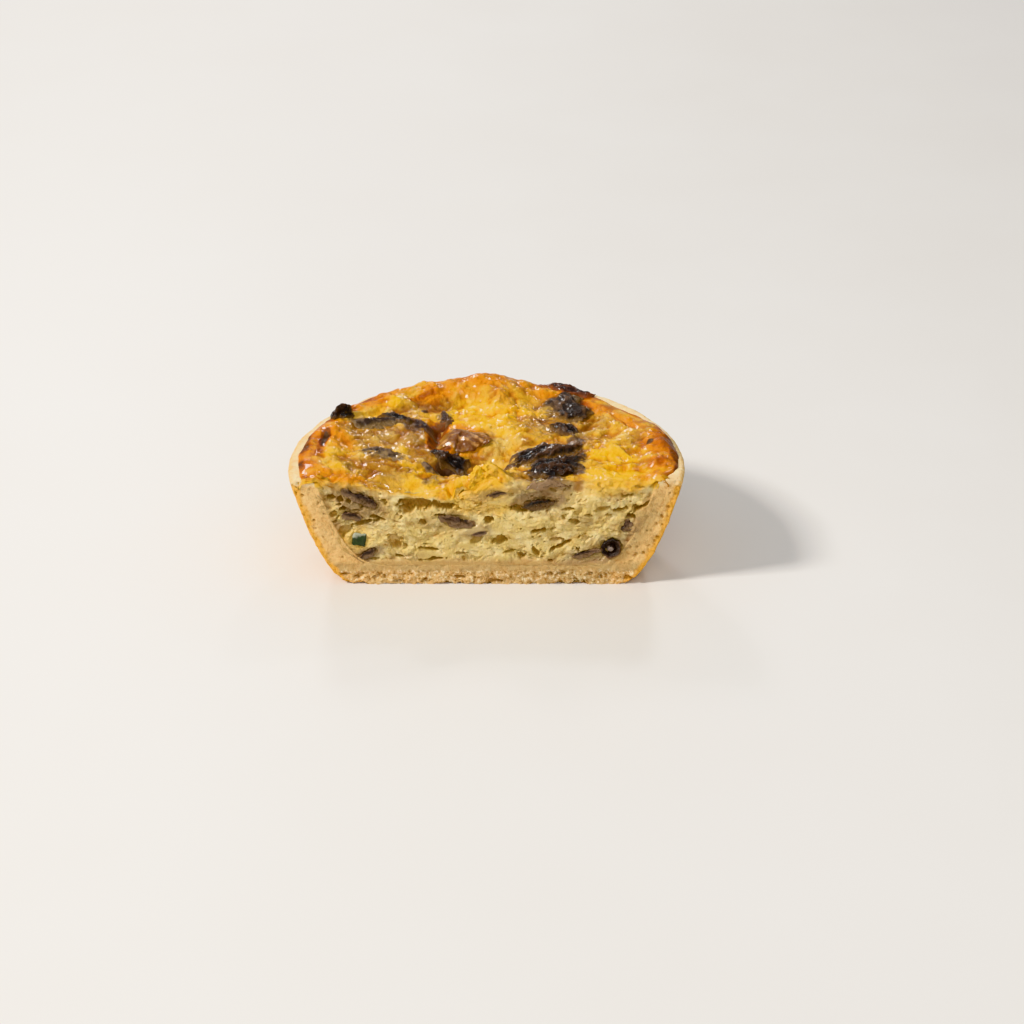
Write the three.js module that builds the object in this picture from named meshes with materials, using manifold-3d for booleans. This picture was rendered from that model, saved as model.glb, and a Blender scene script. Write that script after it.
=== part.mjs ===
// A small deep mushroom quiche, cut across a little in front of its middle, so that a bit more than half is left.
// The open side faces -Y. A shortcrust case holds baked egg custard, melted cheese lies over both, and slices of
// mushroom show in the cheese and in the cut. Millimetres, +Z up, origin on the round's axis at the flat underside.

import * as THREE from "three";
import { mergeVertices } from "three/addons/utils/BufferGeometryUtils.js";
import Module from "manifold-3d";

const wasm = await Module();
wasm.setup();

// Driving dimensions of the pastry case
const RIM_RADIUS = 53;
const FOOT_RADIUS = 37;
const RIM_HEIGHT = 31;
const WALL = 6.8; // measured level, at the rim
const FLOOR = 6; // thickness of the pastry under the filling
const HOLLOW_FOOT = 30; // radius of the flat floor inside
const FLARE = 0.5; // the outside widens with this power of the height
const HOLLOW_FLARE = 0.42;
const LIP = 0.9; // how far the rim's crown stands over its inner edge

// Driving dimensions of the filling and of the cut
const CUT_Y = -10.8;
const CUT_RELIEF = 0.3;
const CHEESE = 2.6; // thickness of the melted layer
const CHEESE_EDGE = 0.9; // and of its thin border on the pastry
const SURFACE_LEVEL = 30.7;
const GAP = 0.3; // clearance between neighbours
const FAR = 70; // further out than any part of the object

// Fineness of the round shapes
const SEGMENTS = 54;
const LAYER_RADII = [8, 15, 22, 28.5, 34.5, 39.5, 43.6, 45.6]; // rings of the cheese inside its border
const CUT_CELL = 5;

// How far out the cheese reaches, by the angle round the axis in degrees
const CHEESE_REACH = [
  [-20, 47.2], [8, 50.6], [26, 51], [42, 48.4], [66, 50.8], [92, 51.4],
  [128, 50.9], [150, 50.4], [176, 49.4], [200, 49.2],
];

// Swells and hollows of the baked surface: middle, half widths, turn in degrees, height
const SWELLS = [
  { x: 0, y: 44, along: 14, across: 7, turn: 0, height: 4.9 }, // dome at the back
  { x: -22, y: 40, along: 12, across: 6, turn: 28, height: 2.1 },
  { x: -42, y: 18, along: 13, across: 5, turn: 66, height: 1.9 }, // left shoulder
  { x: 45.5, y: 8, along: 12, across: 4.5, turn: 98, height: 2.2 }, // right shoulder
  { x: 25, y: 40, along: 11, across: 6, turn: -32, height: 1.3 },
  { x: -30, y: 22, along: 13, across: 7, turn: 0, height: 1.2 },
  { x: 4, y: 22, along: 13, across: 8, turn: 12, height: 1.1 },
  { x: 31, y: 2, along: 12, across: 9, turn: 20, height: 0.7 },
  { x: -5, y: 5, along: 10, across: 7.5, turn: 35, height: -4.6 }, // sunken middle
  { x: -19, y: -12, along: 15, across: 9, turn: 0, height: -4.4 }, // dip at the cut
  { x: 0.5, y: -11, along: 5.5, across: 5, turn: 0, height: 5 }, // lump at the cut
];

// Slices in the cheese: middle and its lift over the cheese, size, turns about Z, Y and X in degrees, upward curl
const TOP_SLICES = {
  mushroom_top_rim_knob: { at: [-39.5, 27, 1.1], size: [6.4, 5, 4.4], turn: [40, 0, 0], curl: 0.4 },
  mushroom_top_left_slab: { at: [-32, 23.6, 0.3], size: [13, 7, 2.6], turn: [4, 6, -12], curl: 1 },
  mushroom_top_left_strip: { at: [-24.6, 26.2, 0.5], size: [9, 3.8, 2.3], turn: [-28, 0, -10], curl: 0.8 },
  mushroom_top_left_ridge: { at: [-17.6, 22, 0.2], size: [9, 4.4, 2.4], turn: [-38, 0, 0], curl: 0.8 },
  mushroom_top_back_fold: { at: [-11.4, 27.2, 0.5], size: [7.6, 4.4, 2.6], turn: [96, 0, 14], curl: 0.8 },
  mushroom_top_caramel_slice: { at: [-6.2, 17.4, 0.5], size: [16, 8.6, 2.2], turn: [-34, 8, -16], curl: 1.8 },
  mushroom_top_black_curl: { at: [-8.2, 6.6, 0.9], size: [10, 5.6, 3], turn: [-12, 0, 10], curl: 1.4 },
  mushroom_top_middle_crumb: { at: [-15.2, 1.2, 0.6], size: [5.6, 3.4, 2.4], turn: [-42, 0, 0], curl: 0.4 },
  mushroom_top_front_strip: { at: [-27.4, 6.8, 0.3], size: [14.5, 5, 2.3], turn: [-13, 0, -6], curl: 0.8 },
  mushroom_top_rim_slab: { at: [22.4, 43.4, 0.9], size: [15, 4.6, 2.6], turn: [-24, 0, 8], curl: 0.7 },
  mushroom_top_grey_cap: { at: [21.8, 33, 0.6], size: [13.5, 9.6, 3], turn: [-66, 6, 6], curl: 1.4 },
  mushroom_top_wet_strip: { at: [20.8, 20.2, 0.6], size: [8.4, 3.8, 2.6], turn: [-38, 0, 0], curl: 0.6 },
  mushroom_top_dark_crest: { at: [15.2, 6.2, 0.9], size: [18.5, 6, 3.8], turn: [33, 0, -8], curl: 0.8 },
  mushroom_top_dark_fold: { at: [19.6, -2.6, 0.7], size: [13, 6.6, 3.8], turn: [20, 0, -14], curl: 0.8 },
  mushroom_top_cut_edge: { at: [16.4, -9.4, 0], size: [10, 4.6, 3], turn: [14, 0, -20], curl: 0.5 },
};

// Slices that the knife met: middle on the cut, length, depth and height, tilt in the cut's plane in degrees
const CUT_SLICES = {
  mushroom_cut_left_long: { at: [-33.2, 25.2], size: [11.6, 9, 3.4], tilt: -28, curl: 0.8 },
  mushroom_cut_left_pale: { at: [-36, 20.2], size: [6.4, 6, 3.2], tilt: -18, curl: 0.4 },
  mushroom_cut_left_low: { at: [-31.6, 8.8], size: [6, 6, 2.4], tilt: 34, curl: 0.3 },
  mushroom_cut_middle: { at: [-8, 18.6], size: [8.6, 8, 3], tilt: -14, curl: 0.6 },
  mushroom_cut_middle_crumb: { at: [-2, 14.9], size: [4.6, 5, 1.9], tilt: 16, curl: 0.2 },
  mushroom_cut_upper_sliver: { at: [2.6, 26.6], size: [5.6, 5, 2], tilt: 12, curl: 0.3 },
  mushroom_cut_dark_wedge: { at: [14.2, 23.8], size: [9.6, 8, 3.4], tilt: 10, curl: 0.6 },
  mushroom_cut_right_bean: { at: [37.4, 17.4], size: [4.6, 5, 3.2], tilt: 48, curl: 0.3 },
  mushroom_cut_right_shadow: { at: [26.6, 9], size: [9, 6, 2.6], tilt: 12, curl: 0.4 },
};

// Round stalk met end on, and a cube of courgette with its skin
const STALK = { x: 33.2, z: 10.8, radius: 2.7, bore: 1.3, depth: 7 };
const COURGETTE = { x: -33.8, z: 13.4, side: 3.8, depth: 4, tilt: 8 };

// Open tears in the cut face: middle, length, height, tilt in degrees
const TEARS = [
  { x: -16.6, z: 23.2, length: 11.5, height: 2.4, tilt: -7 },
  { x: 9.2, z: 21.6, length: 6.5, height: 1.6, tilt: 4 },
  { x: 19.8, z: 11.6, length: 7.6, height: 1.5, tilt: 28 },
  { x: 18.4, z: 15.6, length: 3.6, height: 1.2, tilt: 12 },
  { x: -22.6, z: 14.2, length: 4.6, height: 2.2, tilt: 14 },
  { x: -26.2, z: 18.2, length: 4.2, height: 2, tilt: 0 },
  { x: -15.4, z: 9, length: 4.6, height: 1.2, tilt: -10 },
  { x: 3.8, z: 12.4, length: 4, height: 1.6, tilt: 20 },
  { x: 30.6, z: 21.4, length: 4.2, height: 1.3, tilt: 24 },
  { x: 40.4, z: 22, length: 4, height: 1.3, tilt: 34 },
  { x: 24.6, z: 19.6, length: 3.2, height: 1.4, tilt: -8 },
  { x: 9.6, z: 8.6, length: 3, height: 1.4, tilt: -20 },
  { x: -3.6, z: 20.6, length: 3.8, height: 1.1, tilt: 8 },
  { x: -39.6, z: 24.4, length: 2.6, height: 1.8, tilt: 0 },
];

const radians = THREE.MathUtils.degToRad;

// Sum of slanted waves about `size` millimetres long, from -1 to 1: the soft unevenness of baked food.
function waves(u, v, size, phase) {
  const k = (2 * Math.PI) / size;
  const first = Math.sin(k * (u + 0.35 * v) + phase);
  const second = Math.sin(k * 0.83 * (v - 0.41 * u) + 2.3 * phase + 1.1);
  const third = Math.sin(k * 1.31 * (0.72 * u + 0.69 * v) - 1.7 * phase);
  return (first + second + 0.6 * third) / 2.6;
}

// Value at `angle` of a list of [angle, value] pairs, eased from one to the next.
function eased(pairs, angle) {
  if (angle <= pairs[0][0]) return pairs[0][1];
  for (let i = 1; i < pairs.length; i++) {
    const [a, from] = pairs[i - 1];
    const [b, to] = pairs[i];
    if (angle <= b) return from + (to - from) * THREE.MathUtils.smoothstep(angle, a, b);
  }
  return pairs[pairs.length - 1][1];
}

// Angle round the axis in degrees, from -90 to 270, so that no step falls behind the cut.
function bearing(x, y) {
  const angle = THREE.MathUtils.radToDeg(Math.atan2(y, x));
  return angle < -90 ? angle + 360 : angle;
}

const outsideRadius = (z) => FOOT_RADIUS + (RIM_RADIUS - FOOT_RADIUS) * Math.pow(z / RIM_HEIGHT, FLARE);

const hollowRadius = (z) => {
  const rise = Math.max(0, z - FLOOR) / (RIM_HEIGHT - FLOOR);
  return HOLLOW_FOOT + (RIM_RADIUS - WALL - HOLLOW_FOOT) * Math.pow(rise, HOLLOW_FLARE);
};

// Height of the pastry rim's crown round the case.
function rimCrown(x, y) {
  return RIM_HEIGHT + 0.35 * waves(x, y, 23, 0.4) + 0.2 * waves(x, y, 9, 2);
}

// Height of the baked cheese surface before its border is laid on the rim.
function openSurface(x, y) {
  let z = SURFACE_LEVEL + 0.35 * waves(x, y, 15, 0.9) + 0.28 * waves(x, y, 7.5, 2.6);
  for (const s of SWELLS) {
    const turn = radians(s.turn);
    const along = ((x - s.x) * Math.cos(turn) + (y - s.y) * Math.sin(turn)) / s.along;
    const across = ((y - s.y) * Math.cos(turn) - (x - s.x) * Math.sin(turn)) / s.across;
    z += s.height * Math.exp(-along * along - across * across);
  }
  return z;
}

const cheeseReach = (x, y) => eased(CHEESE_REACH, bearing(x, y));

// Underside of the cheese: a layer over the custard that climbs onto the rim near its border.
function cheeseUnderside(x, y) {
  const inner = RIM_RADIUS - WALL - 2.6;
  const onRim = THREE.MathUtils.smoothstep(Math.hypot(x, y), inner, inner + 2);
  const overCustard = openSurface(x, y) - CHEESE;
  const overRim = rimCrown(x, y) + GAP + 0.15;
  return overCustard + (overRim - overCustard) * onRim;
}

// Upper side of the cheese, which thins towards its border.
function cheeseSurface(x, y) {
  const radius = Math.hypot(x, y);
  const border = THREE.MathUtils.smoothstep(radius, cheeseReach(x, y) - 5.5, cheeseReach(x, y));
  const open = Math.max(openSurface(x, y), cheeseUnderside(x, y) + CHEESE_EDGE);
  const edge = cheeseUnderside(x, y) + CHEESE_EDGE;
  return open + (edge - open) * border * border;
}

// Depth of the knife's path at a place on the cut.
const cutFace = (x, z) => CUT_Y + CUT_RELIEF * waves(x, z, 11, 1.3);

// Geometry from rings of points, closed at both ends by a fan to a single point.
function ringSolid(start, rings, end) {
  const count = rings[0].length;
  const points = [start, ...rings.flat(), end];
  const last = points.length - 1;
  const at = (ring, i) => 1 + ring * count + (i % count);
  const index = [];
  for (let i = 0; i < count; i++) {
    index.push(0, at(0, i + 1), at(0, i));
    for (let ring = 1; ring < rings.length; ring++) {
      index.push(at(ring - 1, i), at(ring - 1, i + 1), at(ring, i));
      index.push(at(ring - 1, i + 1), at(ring, i + 1), at(ring, i));
    }
    index.push(last, at(rings.length - 1, i), at(rings.length - 1, i + 1));
  }
  const geometry = new THREE.BufferGeometry();
  geometry.setAttribute("position", new THREE.Float32BufferAttribute(points.flat(), 3));
  geometry.setIndex(index);
  return geometry;
}

// Round layer between two height functions, out to a radius that may change round the axis.
function layer(reach, lower, upper) {
  const ring = (radiusAt, height) => Array.from({ length: SEGMENTS }, (_, i) => {
    const angle = (2 * Math.PI * i) / SEGMENTS;
    const radius = radiusAt(Math.cos(angle), Math.sin(angle));
    const x = radius * Math.cos(angle);
    const y = radius * Math.sin(angle);
    return [x, y, height(x, y)];
  });
  const radii = [...LAYER_RADII.map((radius) => () => radius), reach];
  const under = radii.map((radiusAt) => ring(radiusAt, lower));
  const over = radii.toReversed().map((radiusAt) => ring(radiusAt, upper));
  return ringSolid([0, 0, lower(0, 0)], [...under, ...over], [0, 0, upper(0, 0)]);
}

// Profile turned round the axis, given as [radius, height] from the axis back to the axis.
function turned(profile) {
  const geometry = new THREE.LatheGeometry(profile.map(([r, z]) => new THREE.Vector2(r, z)), SEGMENTS);
  return geometry.rotateX(Math.PI / 2);
}

// Moves every point of a geometry by a rule from its place to its new place.
function reshape(geometry, rule) {
  const position = geometry.getAttribute("position");
  const point = new THREE.Vector3();
  for (let i = 0; i < position.count; i++) {
    point.fromBufferAttribute(position, i);
    rule(point);
    position.setXYZ(i, point.x, point.y, point.z);
  }
  return geometry;
}

// Closed geometry as a solid that can be cut and joined.
function solid(geometry) {
  const bare = geometry.clone();
  for (const name of ["normal", "uv"]) bare.deleteAttribute(name);
  const merged = mergeVertices(bare, 1e-4);
  const mesh = new wasm.Mesh({
    numProp: 3,
    vertProperties: merged.getAttribute("position").array,
    triVerts: new Uint32Array(merged.index.array),
  });
  return new wasm.Manifold(mesh);
}

// Geometry of a solid's largest body, without the scraps that a cut leaves.
function geometryOf(made) {
  const bodies = made.decompose().sort((a, b) => b.volume() - a.volume());
  const mesh = bodies[0].getMesh();
  const geometry = new THREE.BufferGeometry();
  geometry.setAttribute("position", new THREE.Float32BufferAttribute(mesh.vertProperties, 3));
  geometry.setIndex(new THREE.BufferAttribute(new Uint32Array(mesh.triVerts), 1));
  geometry.computeVertexNormals();
  return geometry;
}

// Copy of a geometry with its surface moved outwards, which keeps a neighbour clear of it.
function swollen(geometry, by) {
  const bare = geometry.clone();
  for (const name of ["normal", "uv"]) bare.deleteAttribute(name);
  const merged = mergeVertices(bare, 1e-4);
  merged.computeVertexNormals();
  const position = merged.getAttribute("position");
  const normal = merged.getAttribute("normal");
  for (let i = 0; i < position.count; i++) {
    position.setXYZ(
      i,
      position.getX(i) + by * normal.getX(i),
      position.getY(i) + by * normal.getY(i),
      position.getZ(i) + by * normal.getZ(i),
    );
  }
  return merged;
}

// Slice of mushroom lying flat: a lobed, wavy disc with a rounded border, its ends curled up.
function sliceGeometry([length, width, thick], curl, phase) {
  const sides = 12;
  const shares = [0.7, 1];
  const height = (x, y) => 2 * curl * (x / length) ** 2 + 0.12 * thick * waves(x, y, width * 1.3, phase);
  const ring = (share, side) => Array.from({ length: sides }, (_, i) => {
    const angle = (2 * Math.PI * i) / sides;
    const lobe = 1 + 0.11 * Math.sin(2 * angle + phase) + 0.08 * Math.sin(3 * angle + 2 * phase);
    const x = (share * lobe * length * Math.cos(angle)) / 2;
    const y = (share * lobe * width * Math.sin(angle)) / 2;
    const half = (thick / 2) * Math.sqrt(1 - 0.9 * share ** 4);
    return [x, y, height(x, y) + side * half];
  });
  const under = shares.map((share) => ring(share, -1));
  const over = shares.toReversed().map((share) => ring(share, 1));
  return ringSolid([0, 0, -thick / 2], [...under, ...over], [0, 0, thick / 2]);
}

// Slice laid in the cheese at its place and turns, and bent to the surface that carries it.
function topSlice({ at: [x, y, lift], size, turn: [aboutZ, aboutY, aboutX], curl }) {
  const geometry = sliceGeometry(size, curl, x + y);
  geometry.rotateX(radians(aboutX)).rotateY(radians(-aboutY)).rotateZ(radians(aboutZ)).translate(x, y, lift);
  return reshape(geometry, (p) => {
    p.z += cheeseSurface(p.x, p.y);
  });
}

// Slice standing across the cut, so that the knife leaves its section in the face.
function cutSlice({ at: [x, z], size, tilt, curl }) {
  const depth = size[1];
  return sliceGeometry(size, curl, x + z).rotateY(radians(-tilt)).translate(x, CUT_Y + 0.25 * depth, z);
}

// Ring of mushroom stalk, its bore open towards the cut and shut behind.
function stalkGeometry() {
  const { radius, bore, depth } = STALK;
  const profile = [
    [0, depth], [radius * 0.8, depth - 0.4], [radius, depth - 1.4], [radius, -2],
    [bore, -2], [bore * 0.9, depth * 0.4], [0, depth * 0.45],
  ];
  const points = profile.map(([r, y]) => new THREE.Vector2(r, y));
  const geometry = new THREE.LatheGeometry(points.toReversed(), 16);
  return geometry.translate(STALK.x, CUT_Y, STALK.z);
}

function courgetteGeometry() {
  const { side, depth, tilt, x, z } = COURGETTE;
  const geometry = new THREE.BoxGeometry(side, 2 * depth, side, 2, 2, 2);
  reshape(geometry, (p) => {
    const corner = Math.hypot(p.x, p.z) / (side * 0.5);
    p.x /= Math.max(1, 1 + 0.35 * (corner - 1));
    p.z /= Math.max(1, 1 + 0.35 * (corner - 1));
  });
  return geometry.rotateY(radians(tilt)).translate(x, CUT_Y, z);
}

// Flattened lump that a tear in the custard leaves empty.
function tearGeometry({ x, z, length, height, tilt }) {
  const geometry = new THREE.IcosahedronGeometry(1, 1);
  reshape(geometry, (p) => {
    const ragged = 1 + 0.22 * waves(p.x * 9 + x, p.z * 9 + z, 6, x);
    p.set((p.x * ragged * length) / 2, p.y * height * 1.1, (p.z * ragged * height) / 2);
  });
  return geometry.rotateY(radians(-tilt)).translate(x, CUT_Y, z);
}

// Block that stands for everything in front of the knife, its back face as uneven as the cut.
function knifeBlock() {
  const across = Math.round((2 * FAR) / CUT_CELL);
  const up = Math.round(FAR / CUT_CELL);
  const geometry = new THREE.BoxGeometry(2 * FAR, FAR, FAR, across, 1, up);
  return reshape(geometry, (p) => {
    p.z += FAR / 2 - CUT_CELL;
    p.y = p.y > 0 ? cutFace(p.x, p.z) : -FAR;
  });
}

// Shortcrust case: floor, flared wall and crowned rim, its skin a little uneven.
function caseGeometry() {
  const rimStep = 0.8;
  const outside = [0, 0.5, 1.6, 3.4, 6, 9.4, 13.6, 18.4, 23.4, RIM_HEIGHT - 2.4];
  const inside = [RIM_HEIGHT - 2, 24, 18, 13, 9.6, 7.4, 6.4, FLOOR];
  const inner = RIM_RADIUS - WALL;
  const profile = [
    [0, 0],
    [FOOT_RADIUS / 2, 0],
    ...outside.map((z) => [outsideRadius(z), z]),
    [RIM_RADIUS, RIM_HEIGHT - rimStep],
    [RIM_RADIUS - 0.7, RIM_HEIGHT],
    [RIM_RADIUS - 2.6, RIM_HEIGHT + 0.1],
    [inner + 1.4, RIM_HEIGHT - 0.2],
    [inner + 0.2, RIM_HEIGHT - LIP],
    ...inside.map((z) => [hollowRadius(z), z]),
    [HOLLOW_FOOT / 2, FLOOR],
    [0, FLOOR],
  ];
  return reshape(turned(profile), (p) => {
    const radius = Math.hypot(p.x, p.y);
    const angle = Math.atan2(p.y, p.x);
    const high = THREE.MathUtils.smoothstep(p.z, RIM_HEIGHT - 4, RIM_HEIGHT);
    const outer = radius > hollowRadius(Math.min(p.z, RIM_HEIGHT)) + 1.5 ? 1 : 0;
    const skin = outer * (p.z > 0.1 ? 0.3 : 0.12) * waves(angle * 40, p.z * 1.4, 7, 0.7);
    p.x += (skin * p.x) / Math.max(radius, 1);
    p.y += (skin * p.y) / Math.max(radius, 1);
    p.z += high * (rimCrown(p.x, p.y) - RIM_HEIGHT);
  });
}

// Baked custard: fills the case to the cheese.
function custardGeometry() {
  const heights = [FLOOR, 6.5, 7.5, 9.6, 13, 18, 24, RIM_HEIGHT - 1.2, RIM_HEIGHT + 9];
  const wall = heights.map((z) => [hollowRadius(Math.min(z, RIM_HEIGHT)) - GAP, z + GAP]);
  const top = RIM_HEIGHT + 9 + GAP;
  return turned([[0, FLOOR + GAP], [HOLLOW_FOOT / 2, FLOOR + GAP], ...wall, [0, top]]);
}

// Everything over the custard, which is cut away from it.
function overCustardGeometry() {
  const reach = () => RIM_RADIUS + 8;
  return layer(reach, (x, y) => cheeseUnderside(x, y) - GAP, () => RIM_HEIGHT + 20);
}

const pastryLook = { color: 0xe3b871, roughness: 0.85 };
const custardLook = { color: 0xe6d9a0, roughness: 0.55 };
const cheeseLook = { color: 0xe8a93c, roughness: 0.35 };
const mushroomLook = { color: 0x3d2c25, roughness: 0.4 };
const courgetteLook = { color: 0x2f4a24, roughness: 0.5 };

const knife = solid(knifeBlock());
const quiche = new THREE.Group();
quiche.name = "quiche";

function addPiece(name, made, look) {
  const material = new THREE.MeshStandardMaterial({ ...look, metalness: 0 });
  const mesh = new THREE.Mesh(geometryOf(made), material);
  mesh.name = name;
  quiche.add(mesh);
}

// Small pieces first. Each is cut back from the ones before it, and every larger part from them all.
const smallPieces = [
  ...Object.entries(CUT_SLICES).map(([name, s]) => ({ name, geometry: cutSlice(s), look: mushroomLook })),
  { name: "mushroom_cut_stalk", geometry: stalkGeometry(), look: mushroomLook },
  { name: "courgette_cube", geometry: courgetteGeometry(), look: courgetteLook },
  ...Object.entries(TOP_SLICES).map(([name, s]) => ({ name, geometry: topSlice(s), look: mushroomLook })),
];

const caseSolid = solid(caseGeometry());
const caseSwollen = solid(swollen(caseGeometry(), GAP));
let room = null;
for (const piece of smallPieces) {
  let made = solid(piece.geometry).subtract(knife).subtract(caseSwollen);
  if (room) made = made.subtract(room);
  addPiece(piece.name, made, piece.look);
  const around = solid(swollen(piece.geometry, GAP + 0.05));
  room = room ? room.add(around) : around;
}

let custard = solid(custardGeometry()).subtract(solid(overCustardGeometry()));
for (const tear of TEARS) custard = custard.subtract(solid(tearGeometry(tear)));
const cheese = solid(layer(cheeseReach, cheeseUnderside, cheeseSurface));

addPiece("pastry_case", caseSolid.subtract(knife), pastryLook);
addPiece("custard", custard.subtract(room).subtract(knife), custardLook);
addPiece("cheese_top", cheese.subtract(room).subtract(knife), cheeseLook);

export default quiche;
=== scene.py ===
"""Dresses the cut mushroom quiche: crumbly pastry, moist custard, browned cheese and cooked mushroom.

Sizes are millimetres until a mesh is written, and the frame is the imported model's: X along the cut,
Y from the open cut face back into the quiche, Z up from the flat underside.
"""

import logging
import math
from collections.abc import Iterator
from contextlib import contextmanager
from dataclasses import dataclass
from enum import Enum

import bpy
import numpy as np
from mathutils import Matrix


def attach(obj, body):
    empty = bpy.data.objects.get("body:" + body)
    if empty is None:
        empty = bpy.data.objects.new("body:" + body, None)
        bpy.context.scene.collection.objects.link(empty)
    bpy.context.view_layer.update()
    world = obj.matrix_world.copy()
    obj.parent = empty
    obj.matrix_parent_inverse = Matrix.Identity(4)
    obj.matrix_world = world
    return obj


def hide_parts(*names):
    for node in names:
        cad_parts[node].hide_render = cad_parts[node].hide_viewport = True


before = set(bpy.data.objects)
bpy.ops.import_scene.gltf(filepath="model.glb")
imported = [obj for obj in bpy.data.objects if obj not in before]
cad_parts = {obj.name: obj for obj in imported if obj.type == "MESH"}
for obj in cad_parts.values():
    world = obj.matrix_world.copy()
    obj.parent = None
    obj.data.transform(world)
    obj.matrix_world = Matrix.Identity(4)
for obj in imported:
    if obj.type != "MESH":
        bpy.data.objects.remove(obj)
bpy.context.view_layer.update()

MM = 0.001
LOG = logging.getLogger("quiche")
Array = np.ndarray
Piece = bpy.types.Object
Socket = bpy.types.NodeSocket


def eased(low: float | Array, high: float | Array, value: Array) -> Array:
    """Smooth step from 0 at low to 1 at high.

    Args:
        low: value at which the step starts.
        high: value at which the step ends; it may lie under low.
        value: values to step.

    Returns:
        The steps, from 0 to 1.
    """
    t = np.clip((value - low) / (np.asarray(high) - low), 0.0, 1.0)
    return t * t * (3.0 - 2.0 * t)


def mixed(a: float | Array, b: float | Array, share: float | Array) -> Array:
    """Value between a and b at a share of the way."""
    return a + (b - a) * share


class Grain:
    """Seeded noise on arrays of points, for the unevenness of baked food."""

    @staticmethod
    def hashed(ix: Array, iy: Array, iz: Array, seed: int) -> Array:
        """Random number from 0 to 1 for each cell of a lattice.

        Args:
            ix: cell numbers along X.
            iy: cell numbers along Y.
            iz: cell numbers along Z.
            seed: number that picks the pattern.

        Returns:
            One number for each cell.
        """
        mask = np.uint64(0xFFFFFFFF)
        n = (ix.astype(np.int64) * 73856093) ^ (iy.astype(np.int64) * 19349663)
        n = n ^ (iz.astype(np.int64) * 83492791)
        n = (n + seed * 2654435761).astype(np.uint64) & mask
        n = ((n ^ (n >> np.uint64(15))) * np.uint64(2246822519)) & mask
        n = ((n ^ (n >> np.uint64(13))) * np.uint64(3266489917)) & mask
        return (n ^ (n >> np.uint64(16))).astype(np.float64) / float(0xFFFFFFFF)

    @staticmethod
    def soft(p: tuple, size: float, seed: int) -> Array:
        """Smooth noise from -1 to 1.

        Args:
            p: arrays of X, Y and Z.
            size: millimetres from one bump to the next.
            seed: number that picks the pattern.

        Returns:
            One value for each point.
        """
        x, y, z = (np.asarray(c, dtype=np.float64) / size for c in p)
        x, y, z = 0.8 * x + 0.6 * y + 11.3, 0.8 * y - 0.6 * x + 5.7, z + 3.1
        corner = [np.floor(c) for c in (x, y, z)]
        part = [c - f for c, f in zip((x, y, z), corner)]
        fade = [t * t * t * (t * (t * 6 - 15) + 10) for t in part]
        total = np.zeros(np.broadcast(x, y, z).shape)
        for dx in (0, 1):
            for dy in (0, 1):
                for dz in (0, 1):
                    weight = (fade[0] if dx else 1 - fade[0]) * (fade[1] if dy else 1 - fade[1])
                    weight = weight * (fade[2] if dz else 1 - fade[2])
                    total += weight * Grain.hashed(corner[0] + dx, corner[1] + dy, corner[2] + dz, seed)
        return 2.0 * total - 1.0

    @staticmethod
    def crags(p: tuple, size: float, seed: int, octaves: int = 3, gain: float = 0.5) -> Array:
        """Several sizes of smooth noise on one another, from about -1 to 1.

        Args:
            p: arrays of X, Y and Z.
            size: millimetres from one bump to the next in the coarsest.
            seed: number that picks the pattern.
            octaves: how many sizes, each half the one before.
            gain: how strong each is against the one before.

        Returns:
            One value for each point.
        """
        total, weight, full = 0.0, 1.0, 0.0
        for octave in range(octaves):
            total = total + weight * Grain.soft(p, size / 2**octave, seed + 17 * octave)
            full += weight
            weight *= gain
        return total / full

    @staticmethod
    def ridges(p: tuple, size: float, seed: int, octaves: int = 2) -> Array:
        """Sharp crests from 0 to 1, where smooth noise crosses its middle."""
        total, weight, full = 0.0, 1.0, 0.0
        for octave in range(octaves):
            crest = 1.0 - np.abs(Grain.soft(p, size / 2**octave, seed + 29 * octave))
            total = total + weight * crest * crest
            full += weight
            weight *= 0.5
        return total / full

    @staticmethod
    def spots(p: tuple, size: float, seed: int) -> tuple[Array, Array, Array]:
        """Nearest of scattered spots, one in each cell of a lattice.

        Args:
            p: arrays of X, Y and Z.
            size: millimetres from one spot to the next.
            seed: number that picks the pattern.

        Returns:
            Distance to the nearest spot in cells, that spot's random number, and distance to the next one.
        """
        x, y, z = (np.asarray(c, dtype=np.float64) / size + 7.0 for c in p)
        x, y, z = np.broadcast_arrays(x, y, z)
        base = [np.floor(c) for c in (x, y, z)]
        nearest = np.full(x.shape, 9.0)
        second = np.full(x.shape, 9.0)
        label = np.zeros(x.shape)
        for dx in (-1, 0, 1):
            for dy in (-1, 0, 1):
                for dz in (-1, 0, 1):
                    cell = (base[0] + dx, base[1] + dy, base[2] + dz)
                    away = (cell[0] + Grain.hashed(*cell, seed) - x) ** 2
                    away += (cell[1] + Grain.hashed(*cell, seed + 1) - y) ** 2
                    away += (cell[2] + Grain.hashed(*cell, seed + 2) - z) ** 2
                    closer = away < nearest
                    second = np.where(closer, nearest, np.minimum(second, away))
                    nearest = np.where(closer, away, nearest)
                    label = np.where(closer, Grain.hashed(*cell, seed + 3), label)
        return np.sqrt(nearest), label, np.sqrt(second)

    @staticmethod
    def domes(p: tuple, size: float, seed: int, radius: float = 0.55) -> Array:
        """Round bumps from 0 to 1, of uneven height, about one in each cell."""
        away, label, _ = Grain.spots(p, size, seed)
        return np.clip(1.0 - (away / radius) ** 2, 0.0, 1.0) * (0.35 + 0.65 * label)

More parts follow.
